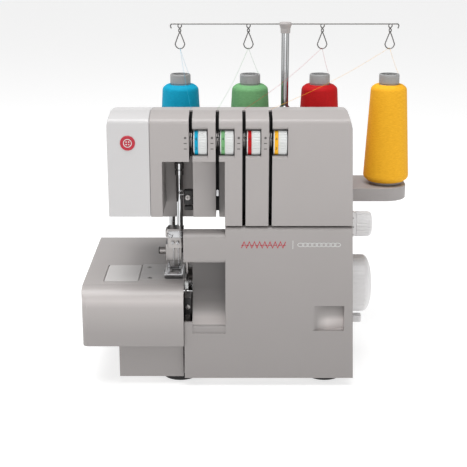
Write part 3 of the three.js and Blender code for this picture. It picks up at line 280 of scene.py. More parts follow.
def dress(name, mesh, body, material, replaces=(), sharp=35):
    """Turns a mesh into a piece of the machine: shading, material and body."""
    work = bmesh.new()
    work.from_mesh(mesh)
    bmesh.ops.recalc_face_normals(work, faces=work.faces)
    work.to_mesh(mesh)
    work.free()
    mesh.shade_smooth()
    mesh.set_sharp_from_angle(angle=math.radians(sharp))
    mesh.materials.clear()
    mesh.materials.append(material)
    piece = bpy.data.objects.new(name, mesh)
    bpy.context.scene.collection.objects.link(piece)
    if body:
        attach(piece, body)
    if replaces:
        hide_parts(*replaces)
    return piece


AXES = {"x": (1, 2, 0), "y": (2, 0, 1), "z": (0, 1, 2)}


def about(axis, centre, a, b, along):
    """A point from its two coordinates across an axis and one along it."""
    point = [0.0, 0.0, 0.0]
    first, second, third = AXES[axis]
    point[first] = centre[first] + a
    point[second] = centre[second] + b
    point[third] = centre[third] + along
    return point


def turned(axis, profile, centre, segments=64, ripple=None):
    """Vertices and faces of a profile of (radius, height) turned round an axis through centre."""
    vertices, rings = [], []
    for radius, height in profile:
        if radius < 1e-7:
            rings.append([len(vertices)] * segments)
            vertices.append(about(axis, centre, 0, 0, height))
            continue
        rings.append(list(range(len(vertices), len(vertices) + segments)))
        for i in range(segments):
            turn = 2 * math.pi * i / segments
            r = radius + (ripple(turn, height) if ripple else 0)
            vertices.append(about(axis, centre, r * math.cos(turn), r * math.sin(turn), height))
    faces = []
    for low, high in zip(rings, rings[1:]):
        for i in range(segments):
            j = (i + 1) % segments
            corners = list(dict.fromkeys([low[i], low[j], high[j], high[i]]))
            if len(corners) > 2:
                faces.append(corners)
    return vertices, faces


def rounded(profile, radius, steps=4):
    """A profile with its inner corners rounded."""
    out = [profile[0]]
    for before, here, after in zip(profile, profile[1:], profile[2:]):
        p, a, b = Vector(here), Vector(before), Vector(after)
        reach = min(radius, (a - p).length * 0.45, (b - p).length * 0.45)
        start, end = p + (a - p).normalized() * reach, p + (b - p).normalized() * reach
        for i in range(steps + 1):
            t = i / steps
            out.append(tuple(start * (1 - t) ** 2 + p * 2 * t * (1 - t) + end * t ** 2))
    out.append(profile[-1])
    return out


def divided(rows, parts):
    """A profile with each of its stretches cut into equal parts."""
    return rows[:1] + [tuple(Vector(a).lerp(Vector(b), i / parts))
                       for a, b in zip(rows, rows[1:]) for i in range(1, parts + 1)]


def curve_points(points, steps=8):
    """A smooth Catmull-Rom line through the points."""
    ends = [points[0] * 2 - points[1], *points, points[-1] * 2 - points[-2]]
    line = []
    for p0, p1, p2, p3 in zip(ends, ends[1:], ends[2:], ends[3:]):
        for i in range(steps):
            t = i / steps
            line.append(0.5 * (2 * p1 + (p2 - p0) * t + (2 * p0 - 5 * p1 + 4 * p2 - p3) * t * t
                               + (3 * p1 - p0 - 3 * p2 + p3) * t ** 3))
    return [*line, points[-1]]


def tube(points, radius, sides=10):
    """Vertices and faces of a round wire along a line of points, closed at both ends."""
    vertices, faces = [], []
    normal = (points[1] - points[0]).normalized().orthogonal()
    for i, point in enumerate(points):
        ahead = points[min(i + 1, len(points) - 1)] - points[max(i - 1, 0)]
        ahead.normalize()
        normal = (normal - ahead * normal.dot(ahead)).normalized()
        side = ahead.cross(normal)
        for k in range(sides):
            turn = 2 * math.pi * k / sides
            vertices.append(point + (normal * math.cos(turn) + side * math.sin(turn)) * radius)
    for i in range(len(points) - 1):
        for k in range(sides):
            m = (k + 1) % sides
            faces.append([i * sides + k, i * sides + m, (i + 1) * sides + m, (i + 1) * sides + k])
    faces.append(list(range(sides))[::-1])
    faces.append([(len(points) - 1) * sides + k for k in range(sides)])
    return vertices, faces


def joined(*shapes):
    """Several (vertices, faces) shapes as one."""
    vertices, faces = [], []
    for more_vertices, more_faces in shapes:
        shift = len(vertices)
        vertices += list(more_vertices)
        faces += [[i + shift for i in face] for face in more_faces]
    return vertices, faces


def soft_block(low, high, radius=0.0006, steps=3):
    """A block with rounded edges."""
    work = bmesh.new()
    bmesh.ops.create_cube(work, size=1)
    middle, size = (low + high) / 2, high - low
    for v in work.verts:
        v.co = Vector((v.co.x * size.x, v.co.y * size.y, v.co.z * size.z)) + middle
    reach = min(radius, min(size) * 0.45)
    bmesh.ops.bevel(work, geom=work.edges[:], offset=reach, segments=steps, profile=0.5, affect="EDGES")
    vertices = [v.co.copy() for v in work.verts]
    work.verts.index_update()
    faces = [[v.index for v in f.verts] for f in work.faces]
    work.free()
    return vertices, faces


def screw(axis, centre, radius, height, sign=1):
    """A cheese-head screw with a cross slot, standing out of a surface along the axis."""
    profile = [(0, -sign * height), (radius, -sign * height), (radius, sign * height * 0.7),
               (radius * 0.55, sign * height), (0, sign * height)]
    head = turned(axis, rounded(profile, height * 0.35), centre, 28)
    first, second, third = AXES[axis]
    half_length, half_width = radius * 0.62, radius * 0.12
    bars = []
    for long, short in ((first, second), (second, first)):
        low, high = Vector(centre), Vector(centre)
        low[long] -= half_length
        high[long] += half_length
        low[short] -= half_width
        high[short] += half_width
        top = centre[third] + sign * height * 1.04
        low[third], high[third] = sorted((top - sign * height * 0.3, top))
        bars.append(soft_block(low, high, radius * 0.05, 1))
    return head, joined(*bars)


def refined(name, width, material, body, segments=3, angle=38):
    """A copy of a CAD node with its flat faces cleaned and its edges rounded."""
    mesh = nodes[name].data.copy()
    for layer in ("custom_normal", "sharp_edge", "sharp_face"):
        if layer in mesh.attributes:
            mesh.attributes.remove(mesh.attributes[layer])
    work = bmesh.new()
    work.from_mesh(mesh)
    bmesh.ops.remove_doubles(work, verts=work.verts, dist=2e-6)
    bmesh.ops.dissolve_limit(work, angle_limit=math.radians(0.3), verts=work.verts, edges=work.edges)
    work.to_mesh(mesh)
    work.free()
    piece = dress(name + "_shell", mesh, body, material, [name], sharp=180)
    bevel = piece.modifiers.new("rounding", "BEVEL")
    bevel.width = width * MM
    bevel.segments = segments
    bevel.limit_method = "ANGLE"
    bevel.angle_limit = math.radians(angle)
    bevel.use_clamp_overlap = True
    weigh = piece.modifiers.new("normals", "WEIGHTED_NORMAL")
    weigh.keep_sharp = True
    weigh.weight = 80
    return piece


body_of = {n: b for b, members in frame["record"]["behaviour"]["bodies"].items() for n in members}

# ---- Covers and castings ------------------------------------------------------------------------
SHELLS = {
    "rear_cover": (0.9, HOUSING, "housing"),
    "tension_cover": (0.6, HOUSING, "housing"),
    "face_cover": (1.0, PALE, "pale_plastic"),
    "looper_cover": (0.7, COVER, "housing"),
    "free_arm_cover": (0.9, BED, "housing"),
    "cloth_plate": (0.6, BED, "housing"),
    "base_tray": (0.9, HOUSING, "housing"),
    "spool_stand": (1.2, HOUSING, "housing"),
    "plate_insert": (0.4, INSERT, "pale_plastic"),
    "needle_plate": (0.25, PLATE, "satin_steel"),
    "chassis_frame": (0.8, CASTING, "casting"),
    "lower_knife": (0.3, STEEL, "satin_steel"),
    "upper_knife": (0.3, STEEL, "satin_steel"),
    "lower_looper": (0.3, POLISHED, "chrome"),
    "upper_looper": (0.3, POLISHED, "chrome"),
    "feed_dog": (0.2, STEEL, "satin_steel"),
    "presser_foot": (0.3, POLISHED, "chrome"),
    "presser_foot_holder": (0.5, STEEL, "satin_steel"),
    "presser_lifter": (0.8, BLACK, "black_plastic"),
    "needle_clamp": (0.4, STEEL, "satin_steel"),
    "differential_feed_lever": (0.6, CONTROL, "pale_plastic"),
    "power_switch": (0.5, BLACK, "black_plastic"),
    "power_inlet": (0.5, BLACK, "black_plastic"),
    "motor": (0.8, CASTING, "casting"),
    "drive_belt": (0.2, RUBBER, "rubber"),
    "main_shaft": (0.3, STEEL, "satin_steel"),
    "drive_pulley": (0.3, CASTING, "casting"),
    "motor_pulley": (0.2, BRASS, "brass"),
    "cover_hinge_rod": (0.2, STEEL, "satin_steel"),
    "needle_bar": (0.2, CHROME, "chrome"),
    "presser_bar": (0.2, CHROME, "chrome"),
    "needle_left": (0.05, POLISHED, "chrome"),
    "needle_right": (0.05, POLISHED, "chrome"),
    "presser_spring": (0.1, STEEL, "satin_steel"),
    **{f"tension_discs_{i}": (0.1, STEEL, "satin_steel") for i in range(1, 5)},
}
shells = {name: refined(name, width, material, body_of[name])
          for name, (width, material, slot) in SHELLS.items()}


def squashed_spring():
    """The presser spring's shell gets a mesh of its own."""
    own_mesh(shells["presser_spring"])


squashed_spring()


# ---- Cones --------------------------------------------------------------------------------------
def ridge(x):
    """A saw-tooth wave: 0 at whole numbers, 1 halfway between them."""
    return 1 - abs(2 * (x % 1) - 1)


def wound_cone(colour):
    """A cone's wound thread, with crossing strands in relief, and the core that it is wound on."""
    low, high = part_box(f"cone_thread_{colour}")
    core_low, core_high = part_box(f"cone_core_{colour}")
    centre = Vector(((low.x + high.x) / 2, (low.y + high.y) / 2, low.z))
    play, row_pitch, lead, strand_relief = 0.4 * MM, 0.42 * MM, 2 * MM, 0.06 * MM
    height, wide = high.z - low.z, (high.x - low.x) / 2 - play
    narrow = wide - 6.2 * MM
    core_wide, core_narrow = (core_high.x - core_low.x) / 2, 11.6 * MM
    outline = rounded([(core_wide - 0.1 * MM, 0), (wide - 5.6 * MM, 0), (wide - 0.2 * MM, 4.6 * MM),
                       (narrow + 0.2 * MM, height - 4.2 * MM), (narrow - 5 * MM, height - 0.4 * MM),
                       (core_narrow, height - 0.6 * MM)], 3 * MM, 8)
    rows = []
    for (r0, h0), (r1, h1) in zip(outline, outline[1:]):
        count = max(1, round(math.hypot(r1 - r0, h1 - h0) / row_pitch))
        rows += [(r0 + (r1 - r0) * i / count, h0 + (h1 - h0) * i / count) for i in range(count)]
    rows.append(outline[-1])

    def winding(turn, h):
        share = turn / (2 * math.pi)
        up, down = ridge(h / lead + 3 * share), ridge(h / lead - 3 * share)
        return (max(up, down) - 0.5) * strand_relief

    shape = turned("z", rows, centre, 120, winding)
    make(f"wound_thread_{colour}", *shape, f"cone_{colour}", THREADS[colour], f"thread_{colour}",
         [f"cone_thread_{colour}"], sharp=60)

    base = Vector((centre.x, centre.y, core_low.z))
    tall = core_high.z - core_low.z
    side = [(core_wide, 0.4 * MM), (core_wide - 7.6 * MM, tall - 11.4 * MM),
            (core_narrow + 0.1 * MM, tall - 10.6 * MM), (core_narrow + 0.1 * MM, tall - 1.2 * MM),
            (core_narrow - 0.6 * MM, tall), (core_narrow - 1.7 * MM, tall),
            (core_narrow - 2.1 * MM, tall - 0.6 * MM), (core_narrow - 2.1 * MM, tall - 4 * MM),
            (core_wide - 1.8 * MM, 0.4 * MM), (core_wide - 1 * MM, 0), (core_wide, 0.4 * MM)]
    wall = turned("z", rounded(side, 0.7 * MM, 3), base, 72)
    make(f"cone_tube_{colour}", *wall, f"cone_{colour}", CORE, "cone", [f"cone_core_{colour}"])


for colour in SIDES:
    wound_cone(colour)


# ---- Thread guide -------------------------------------------------------------------------------
def loop_centres():
    """The loops' places along the wire: the stretches of the CAD wire that hang below the bar."""
    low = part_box("guide_wire")[0]
    bottom_band, least_gap = 1 * MM, 20 * MM
    xs = sorted(v.co.x for v in nodes["guide_wire"].data.vertices if v.co.z < low.z + bottom_band)
    groups = []
    for x in xs:
        if not groups or x - groups[-1][-1] > least_gap:
            groups.append([])
        groups[-1].append(x)
    return [(g[0] + g[-1]) / 2 for g in groups]


def guide_wire():
    """The thread guide's wire: a straight bar with hooked ends and a bent loop for each thread."""
    low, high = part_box("guide_wire")
    y = (low.y + high.y) / 2
    radius = 0.72 * MM
    z = high.z - 0.9 * MM
    bottom = low.z + radius
    parts = [tube([Vector((low.x + 3 * MM, y, z)), Vector((high.x - 3 * MM, y, z))], radius, 12)]
    for x, sign in ((low.x, 1), (high.x, -1)):
        hook = [Vector((x + sign * 4 * MM, y, z)), Vector((x + sign * 2 * MM, y, z - 0.1 * MM)),
                Vector((x + sign * 0.8 * MM, y, z - 2.2 * MM)), Vector((x + sign * 1.8 * MM, y, z - 5 * MM))]
        parts.append(tube(curve_points(hook, 6), radius, 10))
    half, drop = 5.2 * MM, z - bottom
    for x in loop_centres():
        shape = [(-1.6, 0.9, 0.0), (-1.9, -0.9, 0.10), (0.9, -0.9, 0.22), (1.0, 0.7, 0.30), (-0.6, 0.3, 0.36)]
        left = [Vector((x + a * MM, y + b * MM, z - c * drop)) for a, b, c in shape]
        right = [Vector((x - a * MM, y - b * MM, z - c * drop)) for a, b, c in shape]
        bowl = [Vector((x - half * math.sin(a), y, bottom + half - half * math.cos(a)))
                for a in [math.radians(d) for d in range(100, 9, -18)]]
        other = [Vector((2 * x - p.x, y, p.z)) for p in reversed(bowl)]
        line = [*left, *bowl, Vector((x, y, bottom)), *other, *reversed(right)]
        parts.append(tube(curve_points(line, 5), radius * 0.92, 10))
    make("guide_loops", *joined(*parts), "guide", WIRE, "chrome", ["guide_wire"], sharp=60)


guide_wire()


def guide_post():
    """The telescopic post: a rod that slides in a tube, with a cap that holds the wire."""
    low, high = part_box("guide_post_inner")
    centre = Vector(((low.x + high.x) / 2, (low.y + high.y) / 2, 0))
    radius = (high.x - low.x) / 2
    inner = rounded([(0, low.z), (radius, low.z), (radius, high.z), (0, high.z)], 0.4 * MM)
    make("guide_rod", *turned("z", inner, centre, 48), "guide", CHROME, "chrome", ["guide_post_inner"])
    o_low, o_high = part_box("guide_post_outer")
    foot = (o_high.x - o_low.x) / 2
    bore, wall, top = radius + 0.1 * MM, radius + 1.1 * MM, o_high.z
    outer = [(bore, o_low.z), (foot, o_low.z), (foot, o_low.z + 3.4 * MM),
             (wall + 1.2 * MM, o_low.z + 5.4 * MM), (wall, o_low.z + 7 * MM), (wall, top - 5 * MM),
             (wall + 0.5 * MM, top - 4.4 * MM), (wall + 0.5 * MM, top - 1.2 * MM), (wall, top - 0.8 * MM),
             (wall, top), (bore, top), (bore, o_low.z)]
    make("guide_tube", *turned("z", rounded(outer, 0.5 * MM), centre, 48), "root", CHROME, "chrome",
         ["guide_post_outer"])
    h_low, h_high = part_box("guide_head")
    rim = (h_high.x - h_low.x) / 2
    head = [(radius + 0.1 * MM, h_low.z + 3 * MM), (radius + 0.1 * MM, h_low.z), (5.5 * MM, h_low.z),
            (5.7 * MM, h_low.z + 5.4 * MM), (rim - 0.5 * MM, h_low.z + 8.4 * MM), (rim, h_low.z + 9.6 * MM),
            (rim, h_high.z - 1 * MM), (rim - 1.2 * MM, h_high.z), (rim - 3 * MM, h_high.z - 0.4 * MM),
            (0, h_high.z - 0.4 * MM)]
    make("guide_cap", *turned("z", rounded(head, 0.6 * MM), centre, 48), "guide", HOUSING, "housing",
         ["guide_head"])


guide_post()


# ---- Knobs, handwheel and feet ------------------------------------------------------------------
def handwheel():
    """The handwheel, with grips round its rim."""
    low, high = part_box("handwheel")
    centre = Vector((low.x, (low.y + high.y) / 2, (low.z + high.z) / 2))
    r, wide = (high.z - low.z) / 2, high.x - low.x
    bore, hub, depth = 5.1 * MM, 12 * MM, 5 * MM
    outline = [(0, 13 * MM), (bore, 13 * MM), (bore, 0), (hub, 0), (hub, depth), (r - 4 * MM, depth),
               (r - 4 * MM, 0.2 * MM), (r - 0.4 * MM, 0.2 * MM), (r, 1.6 * MM), (r, wide - 8.5 * MM),
               (r - 1.6 * MM, wide - 5.6 * MM), (r - 6 * MM, wide - 3 * MM), (r - 12 * MM, wide - 1.2 * MM),
               (r - 15 * MM, wide - 1.8 * MM), (r - 18 * MM, wide - 0.5 * MM), (0, wide)]

    def grips(turn, x):
        inside = 2 * MM < x < wide - 8 * MM
        return -0.22 * MM * max(0, math.cos(36 * turn)) ** 2 if inside else 0

    rows = divided(rounded(outline, 1.2 * MM, 5), 3)
    make("handwheel_rim", *turned("x", rows, centre, 288, grips), "drive", CONTROL, "pale_plastic",
         ["handwheel"])


handwheel()


def length_dial():
    """The stitch-length dial, with grips and printed marks."""
    low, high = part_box("stitch_length_dial")
    centre = Vector((low.x, (low.y + high.y) / 2, (low.z + high.z) / 2))
    r, wide = (high.z - low.z) / 2, high.x - low.x
    start = 9 * MM
    outline = [(0, 0), (4 * MM, 0), (4 * MM, start), (r - 1 * MM, start), (r, start + 1 * MM),
               (r, start + 6 * MM), (r - 0.8 * MM, start + 6.6 * MM), (r - 0.8 * MM, start + 7.2 * MM),
               (r - 0.2 * MM, start + 7.8 * MM), (r - 0.6 * MM, wide - 3 * MM),
               (r - 2.2 * MM, wide - 0.4 * MM), (r - 4 * MM, wide), (0, wide)]

    def grips(turn, x):
        return -0.55 * MM * max(0, math.cos(24 * turn)) if start + 8 * MM < x < wide - 2 * MM else 0

    rows = divided(rounded(outline, 0.7 * MM, 4), 2)
    make("length_knob", *turned("x", rows, centre, 192, grips), "length_dial", CONTROL, "pale_plastic",
         ["stitch_length_dial"])
    marks = []
    long_mark, short_mark = 2.4 * MM, 1.4 * MM
    x = centre.x + start + 2.2 * MM
    for k in range(9):
        turn = math.radians(-80 + 20 * k)
        point = Vector((x, centre.y - math.cos(turn) * r, centre.z + math.sin(turn) * r))
        reach = long_mark if k % 2 == 0 else short_mark
        marks.append(tube([point, point + Vector((reach, 0, 0))], 0.5 * MM, 8))
    make("length_marks", *joined(*marks), "length_dial", PRINT_GREY)


length_dial()


def foot(corner):
    """A rubber foot with a hollow in its sole."""
    low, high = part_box(f"rubber_foot_{corner}")
    centre = Vector(((low.x + high.x) / 2, (low.y + high.y) / 2, 0))
    r, tall = (high.x - low.x) / 2, high.z
    outline = [(0, 0.6 * MM), (r * 0.5, 0.6 * MM), (r * 0.55, 0), (r - 2 * MM, 0), (r - 0.3 * MM, 2 * MM),
               (r, tall - 1 * MM), (r - 0.6 * MM, tall), (0, tall)]
    make(f"foot_{corner}", *turned("z", rounded(outline, 0.8 * MM), centre, 64), "root", RUBBER, "rubber",
         [f"rubber_foot_{corner}"])


for corner in ("front_left", "front_right", "rear_left", "rear_right"):
    foot(corner)


# ---- Tension dials ------------------------------------------------------------------------------
def wrapped_text(text, size, centre, radius, x, turn):
    """Number outlines bent round a drum that turns about X, as a thin raised print."""
    font = bpy.data.curves.new("number", "FONT")
    font.body = text
    font.size = size
    font.align_x = "CENTER"
    font.align_y = "CENTER"
    font.resolution_u = 3
    holder = bpy.data.objects.new("number", font)
    bpy.context.scene.collection.objects.link(holder)
    mesh = bpy.data.meshes.new_from_object(holder)
    vertices = []
    for v in mesh.vertices:
        angle = turn + v.co.y / radius
        vertices.append(Vector((x + v.co.x, centre.y - math.cos(angle) * radius,
                                centre.z + math.sin(angle) * radius)))
    faces = [list(p.vertices) for p in mesh.polygons]
    bpy.data.objects.remove(holder)
    bpy.data.meshes.remove(mesh)
    return vertices, faces


def tension_dial(i, colour):
    """A ribbed drum with a coloured band and the numbers 0 to 9."""
    low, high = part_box(f"tension_dial_{i}")
    centre = Vector((low.x, (low.y + high.y) / 2, (low.z + high.z) / 2))
    r, wide = (high.z - low.z) / 2, high.x - low.x
    band, bore = 4.9 * MM, 2.1 * MM
    number_size, number_turn, middle_turn = 4.2 * MM, 34, 14
    body = f"dial_{i}"
    outline = [(bore, wide), (bore, 0.2 * MM), (r - 1.4 * MM, 0.2 * MM), (r - 0.9 * MM, 0.6 * MM),
               (r - 0.9 * MM, band), (r - 0.3 * MM, band + 0.3 * MM), (r - 0.1 * MM, band + 0.8 * MM),
               (r - 0.1 * MM, wide - 0.7 * MM), (r - 0.6 * MM, wide - 0.1 * MM), (bore, wide)]

    def ribs(turn, x):
        return -0.42 * MM * max(0, math.cos(40 * turn)) ** 3 if band + 0.9 * MM < x < wide - 0.6 * MM else 0

    rows = divided(rounded(outline, 0.25 * MM, 3), 3)
    make(f"dial_drum_{i}", *turned("x", rows, centre, 320, ribs), body, WHITE, "dial_drum",
         [f"tension_dial_{i}"])
    ring = [(r - 0.9 * MM, 1.3 * MM), (r - 0.62 * MM, 1.4 * MM), (r - 0.62 * MM, band - 0.15 * MM),
            (r - 0.9 * MM, band - 0.05 * MM), (r - 0.9 * MM, 1.3 * MM)]
    make(f"dial_band_{i}", *turned("x", ring, centre, 128), body, THREADS[colour], f"thread_{colour}")
    numbers = []
    for k in range(10):
        turn = math.radians(middle_turn + (k - 4) * number_turn)
        numbers.append(wrapped_text(str(k), number_size, centre, r - 0.56 * MM, centre.x + 3 * MM, turn))
    make(f"dial_numbers_{i}", *joined(*numbers), body, BLACK)


for i, colour in enumerate(SIDES):
    tension_dial(i + 1, colour)


# ---- Dial windows and prints --------------------------------------------------------------------
FRONT = -121 * MM
PRINT = 0.12 * MM
SLOT_HALF, SPINDLE_END = 1.5 * MM, 1.4 * MM
SLOT_XS = [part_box(f"tension_discs_{i}")[0].x + SPINDLE_END for i in range(1, 5)]
DIAL_Z = (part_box("tension_dial_1")[0].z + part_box("tension_dial_1")[1].z) / 2


def slab(x0, x1, y0, y1, z0, z1, radius=0.2):
    """A rounded block between two values of each axis, its radius in mm."""
    return soft_block(Vector((x0, y0, z0)), Vector((x1, y1, z1)), radius * MM, 2)


def window_trims():
    """The black edges inside each dial window."""
    half_window = 12.75 * MM
    for i, x in enumerate(SLOT_XS):
        left, right, back = x + 1.9 * MM, x + 16.85 * MM, FRONT + 2.1 * MM
        top, bottom = DIAL_Z + half_window, DIAL_Z - half_window
        strips = [slab(left, right, FRONT + 1.0 * MM, back, top - 0.8 * MM, top),
                  slab(left, right, FRONT + 1.2 * MM, back, bottom, bottom + 0.5 * MM),
                  slab(right - 0.5 * MM, right, FRONT + 0.4 * MM, back, bottom, top)]
        make(f"window_trim_{i + 1}", *joined(*strips), "root", BLACK, "black_plastic")


def print_disc(x, z, radius, y=FRONT, thick=PRINT):
    """A printed dot on an upright plane."""
    profile = [(0, -thick), (radius - 0.1 * MM, -thick), (radius, 0.05 * MM), (0, 0.05 * MM)]
    return turned("y", profile, (x, y, z), 32)


def print_line(points, width, y=FRONT, thick=PRINT):
    """A printed line through points of an upright plane, given as (x, z)."""
    points = [Vector(q) for q in points]
    closed = (points[0] - points[-1]).length < 1e-6
    rows = []
    for i, q in enumerate(points):
        before = points[i - 1] if i else (points[-2] if closed else q)
        after = points[i + 1] if i + 1 < len(points) else (points[1] if closed else q)
        a, b = (q - before), (after - q)
        a = a.normalized() if a.length else b.normalized()
        b = b.normalized() if b.length else a
        along = (a + b).normalized()
        across = Vector((-along.y, along.x)) * min(2.0, 1 / max(0.3, along.dot(b))) * width / 2
        rows.append((q - across, q + across))
    vertices, faces = [], []
    for low, high in rows:
        for corner in (low, high):
            vertices += [(corner.x, y - thick, corner.y), (corner.x, y + 0.05 * MM, corner.y)]
    for i in range(len(rows) - 1):
        a, b = 4 * i, 4 * i + 4
        faces += [[a, b, b + 2, a + 2], [a + 1, a + 3, b + 3, b + 1],
                  [a, a + 1, b + 1, b], [a + 2, b + 2, b + 3, a + 3]]
    if not closed:
        last = 4 * len(rows) - 4
        faces += [[0, 2, 3, 1], [last, last + 1, last + 3, last + 2]]
    return vertices, faces


def slot_marks():
    """A dot and two dashes by each slot, to read the dial against."""
    dot_height, dash_heights, half_dash = 262.3 * MM, (256.9, 251.4), 1.5 * MM
    for i, x in enumerate(SLOT_XS):
        mark = x - 5.2 * MM
        dashes = [print_line([(mark - half_dash, z * MM), (mark + half_dash, z * MM)], 0.9 * MM)
                  for z in dash_heights]
        dot = print_disc(mark, dot_height, 1.25 * MM)
        make(f"slot_marks_{i + 1}", *joined(dot, *dashes), "root", PRINT_GREY)


def slot_linings():
    """Painted shade: black sheets over both sides and the back of each thread slot, where the slot lies deep
    in shade.
    """
    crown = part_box("tension_cover")[1].z
    sheet_thickness, depth = 0.15 * MM, 25.8 * MM
    floors = (238.8, 182.6, 173.4, 173.4)
    for i, x in enumerate(SLOT_XS):
        floor = floors[i] * MM
        outline = [(0.9 * MM, floor), (0.9 * MM, crown - 10 * MM), (1.7 * MM, crown - 7.6 * MM),
                   (3.8 * MM, crown - 5.6 * MM), (24 * MM, crown - 1 * MM), (depth, crown - 1.2 * MM),
                   (depth, floor)]
        sides = []
        for low, high in ((x - SLOT_HALF - sheet_thickness, x - SLOT_HALF), (x + SLOT_HALF, x + SLOT_HALF + sheet_thickness)):
            count = len(outline)
            vertices = [(side, FRONT + y, z) for side in (low, high) for y, z in outline]
            faces = [list(range(count))[::-1], list(range(count, 2 * count))]
            faces += [[k, (k + 1) % count, count + (k + 1) % count, count + k] for k in range(count)]
            sides.append((vertices, faces))
        back = slab(x - SLOT_HALF, x + SLOT_HALF, FRONT + depth - 0.3 * MM, FRONT + depth,
                    floor, crown - 1.6 * MM, 0.1)
        make(f"slot_shade_sheet_{i + 1}", *joined(*sides, back), "root", BLACK)


def badge():
    """A red medallion with a sewing button on it, on the face cover."""
    centre = (-128.6 * MM, FRONT, 257.2 * MM)
    profile = [(0, -0.7), (5.6, -0.7), (6.0, -0.95), (6.8, -0.95), (7.4, -0.4), (7.4, 0.1), (0, 0.1)]
    outline = rounded([(r * MM, h * MM) for r, h in profile], 0.3 * MM)
    make("badge_disc", *turned("y", outline, centre, 72), "root", PRINT_RED)
    face = FRONT - 0.7 * MM
    button, hole_place, hole = 3.9 * MM, 1.25 * MM, 0.72 * MM
    circle = [(centre[0] + button * math.cos(t), centre[2] + button * math.sin(t))
              for t in [math.radians(10 * k) for k in range(37)]]
    holes = [print_disc(centre[0] + a * hole_place, centre[2] + b * hole_place, hole, face)
             for b in (1, -1) for a in (1, -1)]
    make("badge_button", *joined(print_line(circle, 0.7 * MM, face), *holes), "root", WHITE)


def stitch_graphic():
    """A printed row of overlock stitches and a row of chain stitches, parted by a bar."""
    low, middle, high = 150.2 * MM, 153.1 * MM, 156.8 * MM
    overlock_left, chain_left, bar_x = -17, 42.5, 34.6 * MM
    zigzag_step, stitch, dash, thin = 2.6, 4.6, 3, 0.55 * MM
    zigzag = [((overlock_left + zigzag_step * k) * MM, high if k % 2 else low) for k in range(18)]
    dashes = []
    for k in range(10):
        left, right = overlock_left + stitch * k, overlock_left + dash + stitch * k
        dashes.append(print_line([(left * MM, middle), (right * MM, middle)], 0.7 * MM))
    make("stitch_print_red", *joined(print_line(zigzag, 0.85 * MM), *dashes), "cover", PRINT_RED)
    links = []
    for k in range(9):
        x = (chain_left + stitch * k) * MM
        links.append(print_line([(x + 3.1 * MM * math.cos(t), 153.5 * MM + 1.9 * MM * math.sin(t))
                                 for t in [math.radians(15 * n) for n in range(25)]], thin))
    bar = print_line([(bar_x, 149.2 * MM), (bar_x, 158 * MM)], thin)
    make("stitch_print_white", *joined(*links, bar), "cover", WHITE)


window_trims()
slot_marks()
slot_linings()
badge()
stitch_graphic()


# ---- Small fittings ----------------------------------------------------------------------------
def screwed(name, axis, centre, radius, height, sign, body, metal=STEEL):
    """A screw and its cross slot, sized in mm."""
    head, slot_cross = screw(axis, [c * MM for c in centre], radius * MM, height * MM, sign)
    make(name, *head, body, metal)
    make(name + "_cross", *slot_cross, body, BLACK)


def block(name, x, y, z, body, material, radius=0.8):
    """A rounded block between pairs of x, y and z in mm."""
    make(name, *soft_block(mm(x[0], y[0], z[0]), mm(x[1], y[1], z[1]), radius * MM, 3), body, material)


def needle_details():
    """Guides, screws, bush and ring in the needle recess, and what the clamp and the foot carry."""
    block("thread_guide_block", (-75.2, -65.7), (-99, -91), (189, 204.5), "root", BLACK, 1.2)
    screwed("thread_guide_screw", "y", (-71.2, -99, 197), 2.9, 1.4, -1, "root")
    hook = curve_points([mm(-75, -97, 203), mm(-78, -98.5, 204), mm(-80, -98, 201.5), mm(-78.5, -97, 199.6),
                         mm(-75, -96.5, 199.8)], 6)
    make("thread_guide_hook", *tube(hook, 0.5 * MM, 8), "root", POLISHED)
    block("thread_guide_stub", (-75, -65.7), (-98, -92), (183.2, 187.6), "root", BLACK, 0.9)
    bore, chamfer = 3.45, 0.4
    for name, outer, low, high, material in (("bush", 4.6, 221, 236.5, BLACK),
                                             ("ring", 4.5, 213.6, 219.4, CHROME)):
        ring = [(bore, low), (outer - chamfer, low), (outer, low + chamfer), (outer, high - chamfer),
                (outer - chamfer, high), (bore, high), (bore, low)]
        shape = turned("z", [(r * MM, z * MM) for r, z in ring], mm(-81, -70, 0), 40)
        make(f"needle_bar_{name}", *shape, "root", material)
    block("slot_guide", (-42.1, -39.6), (-120.4, -113), (203.6, 210), "root", POLISHED, 0.5)

    block("presser_bracket", (-97.2, -83.2), (-57, -43.2), (143, 151), "presser", STEEL, 1.0)
    screwed("presser_bracket_screw", "y", (-90, -57, 147), 2.4, 1.3, -1, "presser", POLISHED)
    block("holder_lever", (-79.8, -77.2), (-59, -46), (126, 141), "presser", BLACK, 0.9)

    def knurl(turn, x):
        return -0.2 * MM * max(0, math.cos(24 * turn))

    thumb = [(0, -104.9), (3.2, -104.9), (3.9, -104.2), (3.9, -98.4), (0, -98.4)]
    shape = turned("x", [(r * MM, x * MM) for r, x in thumb], mm(0, -52, 127), 96, knurl)
    make("holder_thumbscrew", *shape, "presser", BLACK)

    for side, x in (("left", -88), ("right", -83)):
        screwed(f"needle_screw_{side}", "y", (x, -82, 144), 1.75, 0.7, -1, "needles", POLISHED)
    block("clamp_cap", (-93.2, -77.8), (-81, -79.6), (149, 156.6), "needles", POLISHED, 0.6)
    guide = curve_points([mm(-92.6, -80.4, 155), mm(-93.4, -83.2, 154), mm(-92, -84.4, 151.6),
                          mm(-89.2, -84.2, 150.8), mm(-88, -82.6, 152)], 6)
    make("clamp_thread_hook", *tube(guide, 0.42 * MM, 8), "needles", POLISHED)

    wires = [curve_points([mm(x, -86, 110), mm(x - 0.6, -90.4, 112), mm(x - 1.6, -91, 115),
                           mm(x - 1.4, -87, 116)], 6) for x in (-95.4, -79.6)]
    make("foot_wires", *joined(*[tube(w, 0.45 * MM, 8) for w in wires]), "foot", POLISHED)


